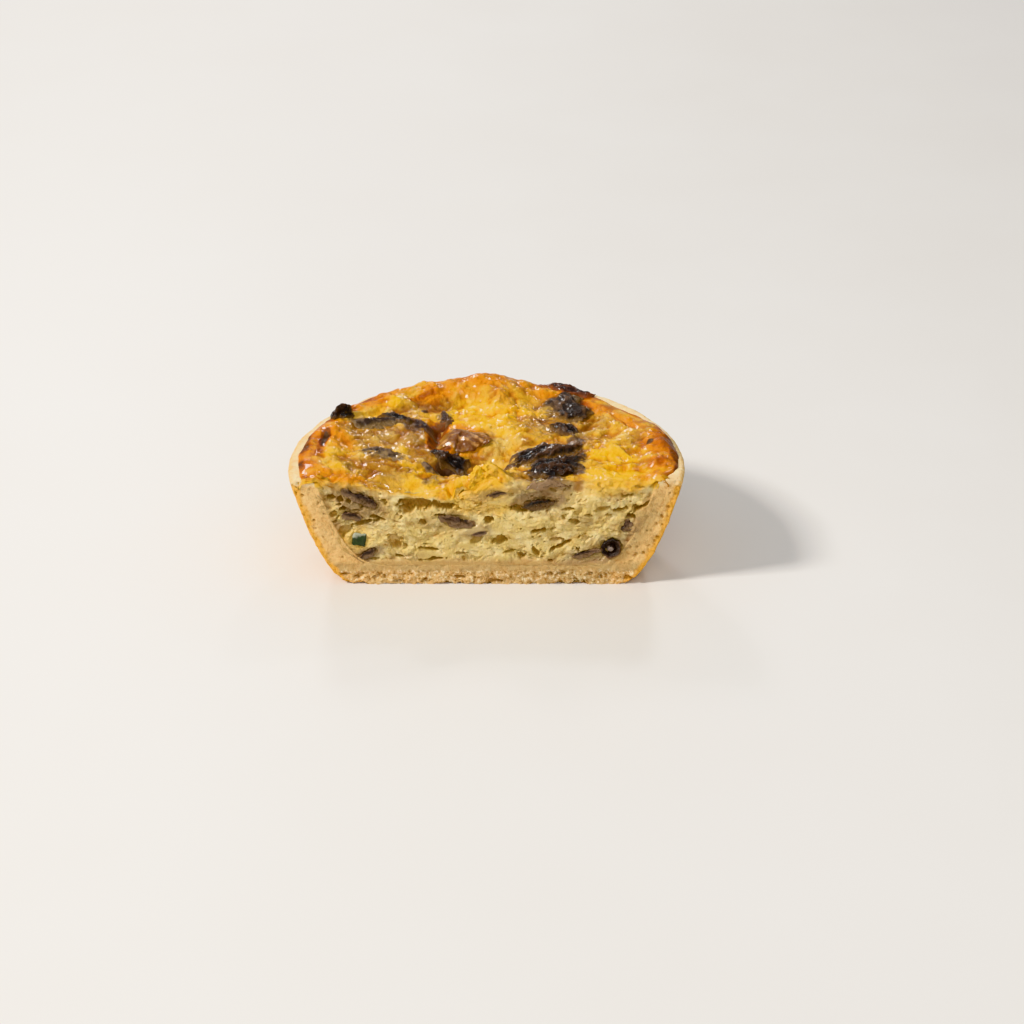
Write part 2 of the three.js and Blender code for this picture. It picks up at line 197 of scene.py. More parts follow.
    @staticmethod
    def curds(p: tuple, size: float, seed: int, crease: float = 0.3) -> Array:
        """Rounded lumps pressed together, from about 0 at their creases to 1.

        Args:
            p: arrays of X, Y and Z.
            size: millimetres from one lump to the next.
            seed: number that picks the pattern.
            crease: extra depth of the creases between them.

        Returns:
            One value for each point.
        """
        away, label, second = Grain.spots(p, size, seed)
        body = np.clip(1.0 - (away / 0.85) ** 2, 0.0, 1.0) * (0.5 + 0.5 * label)
        return body - crease * np.exp(-(((second - away) / 0.16) ** 2))

    @staticmethod
    def warped(p: tuple, size: float, amount: float, seed: int) -> tuple:
        """Places pushed about by smooth noise, so that patterns lose their regular shapes."""
        push = [amount * Grain.soft(p, size, seed + 7 * i) for i in range(3)]
        return tuple(c + d for c, d in zip(p, push))

    @staticmethod
    def pits(p: tuple, size: float, seed: int, radius: float, share: float) -> Array:
        """Small round holes from 0 to 1 in a share of the cells.

        Args:
            p: arrays of X, Y and Z.
            size: millimetres from one cell to the next.
            seed: number that picks the pattern.
            radius: the widest hole's radius, in cells.
            share: share of the cells that have a hole.

        Returns:
            Depth of the hole at each point, 1 at its middle.
        """
        away, label, _ = Grain.spots(p, size, seed)
        wide = radius * (0.4 + 0.6 * label / share)
        return np.where(label < share, eased(1.0, 0.55, away / wide), 0.0)


def waves(u: Array, v: Array, size: float, phase: float) -> Array:
    """Sum of slanted waves, from -1 to 1, as in the part's source.

    Args:
        u: first coordinate in millimetres.
        v: second coordinate in millimetres.
        size: wavelength in millimetres.
        phase: number that shifts the pattern.

    Returns:
        One value for each point.
    """
    k = 2.0 * math.pi / size
    first = np.sin(k * (u + 0.35 * v) + phase)
    second = np.sin(k * 0.83 * (v - 0.41 * u) + 2.3 * phase + 1.1)
    third = np.sin(k * 1.31 * (0.72 * u + 0.69 * v) - 1.7 * phase)
    return (first + second + 0.6 * third) / 2.6


@dataclass(frozen=True)
class Blot:
    """Soft oval on a surface, seen from above or from the front.

    Args:
        x: middle, in millimetres.
        y: middle along the surface's second axis.
        along: half length.
        across: half width.
        turn: turn in degrees.
        strength: value at the middle.
    """

    x: float
    y: float
    along: float
    across: float
    turn: float = 0.0
    strength: float = 1.0

    def at(self, x: Array, y: Array) -> Array:
        """Distance from the middle in half widths, 1 on the oval's line."""
        turn = math.radians(self.turn)
        along = ((x - self.x) * math.cos(turn) + (y - self.y) * math.sin(turn)) / self.along
        across = ((y - self.y) * math.cos(turn) - (x - self.x) * math.sin(turn)) / self.across
        return np.sqrt(along**2 + across**2)

    def bell(self, x: Array, y: Array) -> Array:
        """The strength, faded outwards like a bell."""
        return self.strength * np.exp(-self.at(x, y) ** 2)

    def patch(self, x: Array, y: Array, ragged: float | Array = 0.0, soft: float = 0.35) -> Array:
        """The strength inside the oval, with a ragged and soft border."""
        return self.strength * eased(1.0 + soft, 1.0 - soft, self.at(x, y) + ragged)


@dataclass(frozen=True)
class Ledge:
    """Fold line on a surface, where one side lies lower and climbs back over a few millimetres.

    Args:
        x: middle of the line.
        y: middle of the line.
        half: half its length.
        turn: its turn in degrees.
        drop: how much lower the side on its right lies.
        back: millimetres over which the side climbs back.
        edge: how soft the line is.
    """

    x: float
    y: float
    half: float
    turn: float
    drop: float
    back: float = 5.0
    edge: float = 0.35

    def at(self, x: Array, y: Array, wander: Array) -> Array:
        """Change of height at places, with a line that wanders."""
        turn = math.radians(self.turn)
        along = ((x - self.x) * math.cos(turn) + (y - self.y) * math.sin(turn)) / self.half
        across = (y - self.y) * math.cos(turn) - (x - self.x) * math.sin(turn) + wander
        low = eased(self.edge, -self.edge, across) * np.exp(-((np.clip(-across, 0, None) / self.back) ** 2))
        return -self.drop * low * np.exp(-(along**4))


@dataclass(frozen=True)
class Form:
    """Driving dimensions of the quiche, as in the part's source."""

    rim_radius: float = 53.0
    foot_radius: float = 37.0
    rim_height: float = 31.0
    wall: float = 6.8
    floor: float = 6.0
    hollow_foot: float = 30.0
    flare: float = 0.5
    hollow_flare: float = 0.42
    cut_y: float = -10.8
    cut_relief: float = 0.3
    surface_level: float = 30.7
    reach: tuple = (
        (-20, 47.8), (-12, 48.3), (-5, 50.9), (8, 51.8), (26, 51.4), (42, 49.6), (66, 51.4), (92, 52.1),
        (128, 51.9), (150, 51.2), (176, 50.2), (200, 49.4),
    )
    swells: tuple = (
        Blot(0, 44, 14, 7, 0, 4.9), Blot(-22, 40, 12, 6, 28, 2.1), Blot(-42, 18, 13, 5, 66, 1.9),
        Blot(45.5, 8, 12, 4.5, 98, 2.2), Blot(25, 40, 11, 6, -32, 1.3), Blot(-30, 22, 13, 7, 0, 1.2),
        Blot(4, 22, 13, 8, 12, 1.1), Blot(31, 2, 12, 9, 20, 0.7), Blot(-5, 5, 10, 7.5, 35, -4.6),
        Blot(-19, -12, 15, 9, 0, -4.4), Blot(0.5, -11, 5.5, 5, 0, 5),
    )

    def outside_radius(self, z: Array) -> Array:
        """Radius of the case's outside at a height."""
        share = np.clip(z / self.rim_height, 0.0, None)
        return self.foot_radius + (self.rim_radius - self.foot_radius) * share**self.flare

    def hollow_radius(self, z: Array) -> Array:
        """Radius of the case's hollow at a height."""
        rise = np.clip((z - self.floor) / (self.rim_height - self.floor), 0.0, None)
        return self.hollow_foot + (self.rim_radius - self.wall - self.hollow_foot) * rise**self.hollow_flare

    def rim_crown(self, x: Array, y: Array) -> Array:
        """Height of the pastry rim's crown."""
        return self.rim_height + 0.35 * waves(x, y, 23, 0.4) + 0.2 * waves(x, y, 9, 2)

    def open_surface(self, x: Array, y: Array) -> Array:
        """Height of the baked surface before its border is laid on the rim."""
        z = self.surface_level + 0.35 * waves(x, y, 15, 0.9) + 0.28 * waves(x, y, 7.5, 2.6)
        for swell in self.swells:
            z = z + swell.bell(x, y)
        return z

    def cheese_reach(self, x: Array, y: Array) -> Array:
        """How far out the cheese reaches in a point's direction."""
        angle = np.degrees(np.arctan2(y, x))
        angle = np.where(angle < -90, angle + 360, angle)
        reach = np.full(angle.shape, self.reach[-1][1], dtype=float)
        reach = np.where(angle <= self.reach[0][0], self.reach[0][1], reach)
        for (a, low), (b, high) in zip(self.reach, self.reach[1:]):
            here = (angle > a) & (angle <= b)
            reach = np.where(here, mixed(low, high, eased(a, b, angle)), reach)
        return reach


FORM = Form()


class Surface:
    """Relief of the quiche's two shown faces: the baked top and the cut."""

    # Swells and hollows finer than the part's own
    swells = (
        Blot(-48.2, 11.4, 2.6, 3.4), Blot(-46.2, 17.2, 2.6, 3, 30, 1.1), Blot(-40.9, 16.4, 2.6, 3, 0, 0.9),
        Blot(-37, 15, 2.4, 2.4, 0, 0.6), Blot(-41, 8.8, 3, 2.6, 0, 0.9),
        Blot(-47.6, 4.2, 2.8, 2.6, 0, 0.9), Blot(-48, -1.6, 3, 3), Blot(-44.3, -3.7, 2.6, 2, 0, 0.7),
        Blot(-39.9, -2, 2.6, 2.2, 0, 0.8), Blot(-42.9, 4.4, 3, 1.8, 0, 0.7),
        Blot(-37.6, 0.6, 2, 1.8, 0, 0.6), Blot(-44, 11.5, 1, 4, -8, -0.9),
        Blot(-36.5, 33.5, 5, 1.8, 44, 0.9), Blot(-28.5, 40, 6, 1.8, 40), Blot(-19.5, 46, 5, 2, 26, 0.9),
        Blot(-31.5, 32.5, 5, 2.2, 34, -0.7), Blot(-26.7, 35.5, 3.8, 3, 20, 0.8),
        Blot(-22, 39, 4, 1.3, 34, -0.7), Blot(-12, 35, 4.5, 3, 0, -0.8),
        Blot(-15.5, 34.6, 2.4, 2.2, 0, 0.7), Blot(-1, 47.5, 10, 3.4, 0, 0.7),
        Blot(3, 37.6, 3.4, 3.4, -60, 1.5), Blot(2.2, 32, 2.6, 3), Blot(6.8, 31, 2.6, 2.8, 20, 1.2),
        Blot(5, 25.6, 2, 2.6, 0, 0.8), Blot(8, 41, 4, 2.6, -50, 0.8), Blot(-5.4, 36.6, 5, 3.4, 14, -1.3),
        Blot(11.1, 26, 2.6, 2.6), Blot(10.7, 19, 2.4, 2.6, 0, 0.8), Blot(13.4, 30.4, 3, 2, 30, 0.7),
        Blot(0.4, 14.4, 3, 2, 0, 0.8), Blot(-22, 9.6, 2.4, 2.2, 0, 1.1), Blot(-32.4, 15, 3.4, 2.6, 0, 0.6),
        Blot(-24.4, 15.6, 3, 2.4, 0, 0.6), Blot(-28, 11.6, 3, 2, 0, 0.5),
        Blot(-13.6, 17.4, 2.3, 6.6, 4, -3.2), Blot(-20.6, 14, 2, 1.6, 0, 0.6), Blot(-36, -8, 5, 2, 0, 0.5),
        Blot(-10.6, 2.4, 3, 1.7, 6, -2.6), Blot(-6.4, 2.2, 2, 1.4, 0, -1.2), Blot(-5, 6.8, 2.6, 2, 0, 0.7),
        Blot(1, 11.4, 2.6, 2, 0, 0.7), Blot(1.4, 5, 3, 5, 24, -2), Blot(3.4, -1.6, 2.4, 2.6, 0, -1.6),
        Blot(-6.4, -8.8, 2.4, 2.4, 30), Blot(-1.4, -6.6, 2.4, 1.8, 10, 1.3), Blot(2.2, -8.8, 2, 2, 0, 0.6),
        Blot(-9.2, -10.4, 0.9, 3.5, 10, -2.2), Blot(8, 6, 2, 5, -14, 0.9), Blot(33.6, 6.6, 5.6, 4.4),
        Blot(32, 8.6, 2.6, 2.2, 0, 0.6), Blot(36.4, 5.6, 2.4, 2, 0, 0.5), Blot(29.6, 12, 3, 2.6, 20),
        Blot(36.6, 12.6, 3.4, 2.4, 0, 0.8), Blot(25.6, 4, 2.8, 2.2, 40, 0.6),
        Blot(27.6, -1.2, 2.4, 1.8, 0, 0.6), Blot(43.7, 16.2, 2.8, 2.8, 30, 1.1),
        Blot(48.6, 12.6, 2.4, 3.2, 20, 1.4), Blot(47, 7.2, 2.4, 2.6, 0, 1.2),
        Blot(50.6, 4, 2, 3.6, 0, 1.2), Blot(46.6, -1.4, 2.8, 2.4, 0, 1.1),
        Blot(50.4, -4, 1.8, 2.4, 0, 0.9), Blot(38.6, 26, 4, 1.6, 130, 0.7), Blot(17, 14, 3, 2.4, 0, 0.5),
        Blot(-20, -3, 4.5, 2.2, -20, 0.7), Blot(-27, -4.4, 4.5, 2, -10, 0.6),
        Blot(-17.2, 31.4, 1.3, 1.5, 0, 0.8), Blot(43.9, 8.6, 1, 1.5, 0, 0.7),
    )
    # Fold lines where one flow of cheese laps over another
    ledges = (
        Ledge(39.2, -2.2, 8.4, 8, 1.1, 4.0),
        Ledge(-18.4, 3.2, 6.0, 143, 1.0, 3.5),
        Ledge(6.6, 4.6, 8.5, 252, 1.7, 5.0),
        Ledge(37.2, 23.6, 10.5, -53, -1.1, 5.0),
        Ledge(-14.8, 40.6, 6.5, 20, 0.8, 4.0),
        Ledge(-34.5, 29.5, 6.5, 40, 0.9, 4.0),
        Ledge(-31.8, 0.6, 7.0, -14, 0.8, 4.5),
        Ledge(-8.8, 11.4, 5.5, 70, 0.9, 2.5),
        Ledge(12, 13.4, 6.0, 36, 0.6, 3.0),
        Ledge(27, 24, 5.0, 60, 0.7, 3.0),
    )
    # Places where the cheese lies smooth
    calm = (
        Blot(-2, 47, 14, 4.5), Blot(-5, 25, 9, 5, 10), Blot(37, -7, 11, 4, 4), Blot(4, 24, 8, 3, 10),
        Blot(-20, -7, 9, 3, -12), Blot(30, -8, 9, 3),
    )
    # Places near the cut where it has torn to crumbs
    torn = (Blot(-2.5, -8.4, 8, 3.6, 8), Blot(9, -6, 5, 3, 0, 0.5))

    @staticmethod
    def ground(x: Array, y: Array) -> Array:
        """Height of the baked surface with its swells and folds, without its lumps."""
        z = FORM.open_surface(x, y)
        wander = 0.7 * Grain.crags((x, y, np.zeros_like(x)), 4.0, 15, 3)
        for swell in Surface.swells:
            z = z + swell.bell(x, y)
        for ledge in Surface.ledges:
            z = z + ledge.at(x, y, wander)
        torn = sum(blot.bell(x, y) for blot in Surface.torn)
        crumbs = Grain.warped((x, y, np.zeros_like(x)), 2.0, 0.6, 16)
        _, label, _ = Grain.spots(crumbs, 2.3, 17)
        grit = 0.3 * (Grain.curds(crumbs, 0.95, 14, 0.3) - 0.4)
        return z + torn * (1.1 * (label - 0.5) + 0.75 * Grain.crags(crumbs, 2.2, 19, 4, 0.62) + grit)

    @staticmethod
    def lumps(x: Array, y: Array) -> Array:
        """Melted lumps, creases and strings that lie on the ground."""
        flat = np.zeros_like(x)
        still = np.zeros_like(x)
        for blot in Surface.calm:
            still = np.maximum(still, blot.patch(x, y, 0.3 * Grain.soft((x, y, flat), 4.0, 18), 0.5))
        p = Grain.warped((x, y, flat), 4.5, 1.1, 20)
        live = 1.0 - 0.72 * still
        lumpy = eased(-0.5, 0.5, Grain.soft((x, y, flat), 9, 33))
        z = 0.42 * (Grain.curds(p, 4.6, 21, 0.18) - 0.4) * live
        z = z + 0.46 * (Grain.curds(p, 2.1, 31, 0.16) - 0.4) * mixed(0.3, 1.0, lumpy) * mixed(0.4, 1.0, live)
        z = z + 0.7 * Grain.crags(p, 3.6, 37, 4, 0.58) * mixed(0.5, 1.0, live)
        stretched = (0.5 * x + 0.25 * y, 1.4 * (y - 0.3 * x), flat)
        strings = Grain.ridges(Grain.warped(stretched, 5, 1.0, 43), 4.0, 41) - 0.6
        z = z + 0.4 * strings * mixed(0.6, 1.0, live)
        grit = eased(-0.1, 0.5, Grain.soft((x, y, flat), 6.0, 45)) * live
        z = z + 0.34 * (Grain.domes(p, 1.15, 47, 0.62) - 0.2) * grit
        return z + 0.13 * Grain.crags(p, 1.1, 51, 3)

    @staticmethod
    def height(x: Array, y: Array) -> Array:
        """Height of the baked surface with all its relief, before its border."""
        return Surface.ground(x, y) + Surface.lumps(x, y)

    @staticmethod
    def relief(x: Array, z: Array) -> tuple[Array, Array, Array]:
        """Relief of the cut face, with its torn layers, curds, pores and tears.

        Args:
            x: places along the cut, in millimetres.
            z: heights.

        Returns:
            Depths behind the cut's plane in millimetres, how open the face is there, and its fine relief.
        """
        flat = np.full_like(x, 3.0)
        p = (x, flat, z)
        bent = Grain.warped(p, 5.0, 1.4, 60)
        layered = (bent[0] / 1.6, flat, bent[2])
        rough = eased(-0.55, 0.35, Grain.soft(p, 7.0, 62))

        # Torn layers: the depth climbs in small ragged steps
        steps = 2.2 * Grain.crags(layered, 4.4, 61, 4, 0.6)
        whole = np.floor(steps)
        depth = FORM.cut_relief * waves(x, z, 11, 1.3) + 0.42 * (whole + eased(0.0, 0.22, steps - whole))

        # Curd lumps with creases between them
        fine = -0.5 * (Grain.curds(layered, 2.3, 64, 0.3) - 0.4)
        fine = fine - 0.26 * (Grain.curds(Grain.warped(p, 2.0, 0.5, 66), 1.1, 67, 0.22) - 0.4)
        fine = fine + 0.34 * Grain.crags(p, 1.4, 74, 4, 0.66)
        fine = fine * mixed(0.25, 0.68, rough)

        # Open pores and crevices
        crest = Grain.crags(Grain.warped(layered, 2.2, 0.7, 70), 1.9, 71, 4, 0.62)
        gaping = 1.2 * eased(0.34, 0.52, crest + 0.16 * Grain.soft(p, 5.0, 73)) * mixed(0.4, 1.0, rough)
        ragged = Grain.warped(Grain.warped(p, 1.3, 0.4, 78), 0.5, 0.16, 79)
        gaping = gaping + 0.8 * Grain.pits(ragged, 2.3, 81, 0.2, 0.4)
        gaping = gaping + 0.5 * Grain.pits(ragged, 1.1, 85, 0.26, 0.25)

        uneven = 0.8 * Grain.crags(Grain.warped(p, 1.8, 0.5, 94), 1.9, 95, 4, 0.66)
        uneven = uneven + 0.5 * Grain.crags(Grain.warped(p, 1.0, 0.3, 98), 1.0, 97, 2, 0.6)
        for tear in Cut.tears:
            gaping = np.maximum(gaping, 2.3 * tear.strength * eased(1.2, 0.7, tear.at(x, z) + uneven))
        bed = np.zeros_like(x)
        for blot in Cut.beds():
            bed = np.maximum(bed, eased(1.3, 0.9, blot.at(x, z) + 0.4 * uneven))
        return depth + fine + gaping * (1.0 - bed) + 0.4 * bed, gaping * (1.0 - bed), fine


class Cut:
    """What shows on the cut besides the crumb: tears, and stains round the mushroom."""

    # Tears in the custard
    tears = (
        Blot(-18.6, 23.9, 4.6, 1.6, -6), Blot(-11.8, 23.4, 3.4, 1.2, -8),
        Blot(-20.6, 22.8, 1.6, 1.4, 0, 0.6), Blot(9.4, 22.3, 3.6, 0.8, -8, 0.9),
        Blot(19.8, 11.4, 4, 0.6, 28, 0.9), Blot(18.6, 13.2, 1.4, 0.6, 0, 0.5),
        Blot(14.2, 15.9, 1.7, 0.7, 6, 0.8), Blot(-24.2, 12.6, 1.8, 2.4, 30, 0.55),
        Blot(-37.4, 16, 2, 1.3, 20, 0.5), Blot(-15.4, 10.4, 2.4, 0.4, -8, 0.7),
        Blot(-14.2, 7.6, 3.2, 0.45, 4, 0.8), Blot(-2.6, 13.4, 2, 1, 30, 0.5),
        Blot(3.6, 13.2, 1.8, 1.1, 10, 0.7), Blot(31, 22.6, 2, 0.5, 10, 0.5),
        Blot(41.2, 23.2, 3, 0.5, 32, 0.9), Blot(35, 22, 1.8, 0.6, 20, 0.7),
        Blot(38.6, 20.2, 1.1, 0.9, 0, 0.8), Blot(37.6, 18.9, 1.5, 0.4, 40, 0.6),
        Blot(9.8, 8.6, 1.3, 0.9, -20, 0.8), Blot(-17, 18.7, 1.3, 1, 10, 0.7),
        Blot(-11.6, 20.2, 2.4, 0.8, -24, 0.8), Blot(0.8, 19.2, 1.2, 0.9, 0, 0.8),
        Blot(21.6, 22.2, 1.5, 0.4, 8, 0.6), Blot(27, 20.6, 1.3, 0.5, -10, 0.6),
        Blot(23.6, 18.6, 1.6, 0.7, -12, 0.6), Blot(13, 9.6, 0.8, 1.5, 30, 0.7),
        Blot(17, 6.9, 0.9, 0.4, -20, 0.7), Blot(-41, 25.6, 1, 0.7, 0, 0.8),
        Blot(-38.6, 25.2, 0.7, 0.8, 0, 0.8), Blot(-38, 22.6, 1, 0.8, 0, 0.9),
        Blot(-40.2, 21, 0.8, 0.7, 0, 0.6), Blot(-36.2, 24.8, 0.7, 0.6, 0, 0.7),
        Blot(-29, 19.8, 2.2, 0.6, -20, 0.7), Blot(-33, 18.2, 2.4, 0.5, 16, 0.7),
        Blot(-23, 8.2, 1.6, 0.4, -6, 0.6), Blot(6, 9.6, 1.4, 0.4, 10, 0.6),
        Blot(-6.6, 9.4, 2, 0.4, 4, 0.5), Blot(-30.2, 7.6, 1.6, 0.4, 0, 0.5),
    )
    # Stains that the mushroom left
    mauve = (
        Blot(-34.6, 24.6, 8.5, 4.6, -34, 0.85), Blot(-33.6, 20.6, 6, 3, -28, 0.5),
        Blot(-36.4, 18, 4, 2, 0, 0.4), Blot(-31.6, 8.8, 4.4, 2.2, 30, 0.9),
        Blot(-8, 18.8, 6, 2.4, -20, 0.6), Blot(-2.6, 15.4, 4, 2, 10, 0.6), Blot(1, 27, 5, 1.8, 12, 0.55),
        Blot(14, 25.2, 8, 3.4, 6, 0.95), Blot(18, 28, 9, 3.4, 24, 0.8), Blot(8, 27.4, 6, 2, 6, 0.5),
        Blot(37.6, 17.4, 3.4, 4.2, -30, 0.45), Blot(33, 11, 5.5, 4.2, 20, 0.6),
        Blot(26, 8.4, 8, 2.2, 12, 0.6), Blot(-14, 17.6, 4, 1.6, -20, 0.4), Blot(-20, 8.4, 5, 1.2, 0, 0.35),
        Blot(25.4, 18.8, 3.4, 1.6, -20, 0.4), Blot(-2, 21.6, 3, 1.2, 0, 0.3),
        Blot(-27, 22, 4, 2.2, -30, 0.3),
    )
    # Golden places
    gold = (
        Blot(-44.6, 30.6, 4.2, 2.4), Blot(45.6, 30.8, 4.2, 2.4), Blot(-16, 27.4, 12, 1.5, -6),
        Blot(-1, 31.2, 8.6, 3.8, 8, 1.1), Blot(-1, 27.4, 8, 3.4, 10, 0.65), Blot(36, 30.6, 11, 3, 2),
        Blot(33, 28.4, 8, 2, 10, 0.5), Blot(-37.4, 29.4, 7, 1.8, -10, 0.9), Blot(1, 22.6, 7, 2, 0, 0.45),
        Blot(-6, 23, 3, 2.4, 0, 0.5), Blot(-34, 13.6, 4.6, 3.2, 10, 0.35), Blot(12, 29, 7, 1.6, 4, 0.4),
    )

    @staticmethod
    def beds() -> tuple:
        """Ovals in which the pieces of mushroom and courgette lie, as the knife met them."""
        made = [Blot(s.at[0], s.at[1], 0.5 * s.size[0], 0.5 * s.size[2], s.turn[1]) for s in CUT_SLICES]
        round_ones = [Blot(s.x, s.z, s.bed, s.bed) for s in (Stalk, Courgette)]
        return (*made, *round_ones)


class Bench:
    """Blender's modelling tools, used on one piece at a time."""

    @staticmethod
    def rest() -> None:
        """Leaves edit mode and deselects every object."""
        if bpy.context.object and bpy.context.object.mode != "OBJECT":
            bpy.ops.object.mode_set(mode="OBJECT")
        bpy.ops.object.select_all(action="DESELECT")

    @staticmethod
    def named(name: str) -> Piece:
        """The piece that was just added, under its name."""
        piece = bpy.context.object
        piece.name = name
        piece.data.name = name
        return piece

    @staticmethod
    def take(piece: Piece) -> None:
        """Makes a piece the only selected and the active one."""
        Bench.rest()
        piece.select_set(True)
        bpy.context.view_layer.objects.active = piece

    @staticmethod
    @contextmanager
    def editing(select: str | None = "SELECT") -> Iterator[None]:
        """Edit mode on the active piece, for as long as the block runs.

        Args:
            select: what is done to the selection first; None leaves it as it is.
        """
        bpy.ops.object.mode_set(mode="EDIT")
        if select:
            bpy.ops.mesh.select_all(action=select)
        yield
        bpy.ops.object.mode_set(mode="OBJECT")

    @staticmethod
    def unselect() -> None:
        """Clears the selection inside the active piece."""
        with Bench.editing(None):
            bpy.ops.mesh.select_all(action="DESELECT")

    @staticmethod
    def points(piece: Piece) -> Array:
        """Places of a piece's points, in millimetres."""
        flat = np.empty(len(piece.data.vertices) * 3, dtype=np.float32)
        piece.data.vertices.foreach_get("co", flat)
        return flat.reshape(-1, 3).astype(np.float64) / MM

    @staticmethod
    def move(piece: Piece, places: Array) -> None:
        """Puts a piece's points at new places, in millimetres."""
        piece.data.vertices.foreach_set("co", (places * MM).astype(np.float32).ravel())
        piece.data.update()

    @staticmethod
    def mask(piece: Piece, name: str, values: Array) -> None:
        """Keeps a value from 0 to 1 for each point, which the finish reads.

        Args:
            piece: the piece.
            name: the attribute's name.
            values: one value for each point.
        """
        layer = piece.data.attributes.new(name, "FLOAT", "POINT")
        layer.data.foreach_set("value", np.clip(values, 0, 1).astype(np.float32))

    @staticmethod
    def apply(piece: Piece, kind: str, **values: object) -> None:
        """Adds a modifier to a piece and applies it.

        Args:
            piece: the piece.
            kind: Blender's name for the kind of modifier.
            values: the modifier's settings.
        """
        Bench.take(piece)
        modifier = piece.modifiers.new(kind.lower(), kind)
        for key, value in values.items():
            setattr(modifier, key, value)
        bpy.ops.object.modifier_apply(modifier=modifier.name)

    @staticmethod
    def settle(piece: Piece) -> None:
        """Applies a piece's place and shades it smooth."""
        Bench.take(piece)
        bpy.ops.object.transform_apply(location=True, rotation=True, scale=True)
        bpy.ops.object.shade_smooth()
        Bench.rest()

    @staticmethod
    def grid(name: str, across: int, up: int) -> Piece:
        """Flat grid from -1 to 1 millimetre both ways, to be laid on a surface.

        Args:
            name: the piece's name.
            across: cells along X.
            up: cells along Y.

        Returns:
            The piece.
        """
        Bench.rest()
        bpy.ops.mesh.primitive_grid_add(x_subdivisions=across, y_subdivisions=up, size=2 * MM)
        return Bench.named(name)

    @staticmethod
    def turned(name: str, profile: list, steps: int) -> Piece:
        """Closed round body spun from a profile of [radius, height].

        Args:
            name: the piece's name.
            profile: corners from the axis back to the axis, in millimetres.
            steps: how many steps the spin takes.

        Returns:
            The piece.
        """
        Bench.rest()
        first = profile[0]
        bpy.ops.mesh.primitive_plane_add(size=MM, location=(first[0] * MM, 0, first[1] * MM))
        piece = Bench.named(name)
        with Bench.editing():
            bpy.ops.mesh.merge(type="CENTER")
            for (r0, z0), (r1, z1) in zip(profile, profile[1:]):
                bpy.ops.mesh.extrude_region_move(
                    TRANSFORM_OT_translate={"value": ((r1 - r0) * MM, 0, (z1 - z0) * MM)}
                )
            bpy.ops.mesh.select_all(action="SELECT")
            bpy.ops.mesh.spin(steps=steps, angle=2 * math.pi, center=(0, 0, 0), axis=(0, 0, 1))
            bpy.ops.mesh.select_all(action="SELECT")
            bpy.ops.mesh.remove_doubles(threshold=0.02 * MM)
            bpy.ops.mesh.normals_make_consistent(inside=False)
        bpy.ops.object.transform_apply(location=True, rotation=True, scale=True)
        return piece

    @staticmethod
    def slice_off(piece: Piece, y: float) -> None:
        """Cuts away all of a piece in front of a plane and fills the cut.

        Args:
            piece: the piece.
            y: the plane's place in millimetres.
        """
        Bench.take(piece)
        with Bench.editing():
            bpy.ops.mesh.bisect(
                plane_co=(0, y * MM, 0), plane_no=(0, 1, 0), use_fill=True,
                clear_inner=True, clear_outer=False
            )
            bpy.ops.mesh.select_all(action="SELECT")
            bpy.ops.mesh.normals_make_consistent(inside=False)

    @staticmethod
    def thin_hidden(piece: Piece, hidden: Array, ratio: float) -> None:
        """Coarsens the part of a piece that its neighbours cover.

        Args:
            piece: the piece.
            hidden: 1 for each point that is covered, 0 for the rest.
            ratio: share of the piece's triangles that is kept.
        """
        group = piece.vertex_groups.new(name="hidden")
        group.add([int(i) for i in np.nonzero(hidden > 0.5)[0]], 1.0, "REPLACE")
        Bench.apply(piece, "DECIMATE", ratio=ratio, vertex_group="hidden", vertex_group_factor=10.0)
        piece.vertex_groups.clear()

    @staticmethod
    def join(name: str, pieces: list) -> Piece:
        """Joins pieces into the first of them."""
        Bench.rest()
        for piece in pieces:
            piece.select_set(True)
        bpy.context.view_layer.objects.active = pieces[0]
        bpy.ops.object.join()
        pieces[0].name = name
        return pieces[0]


Colour = tuple[float, float, float]


def paint(red: int, green: int, blue: int) -> Colour:
    """Linear colour for a screen colour of 0 to 255.

    Args:
        red: red on the screen.
        green: green on the screen.
        blue: blue on the screen.

    Returns:
        The colour in linear light.
    """
    shares = (red / 255, green / 255, blue / 255)
    return tuple(s / 12.92 if s <= 0.04045 else ((s + 0.055) / 1.055) ** 2.4 for s in shares)


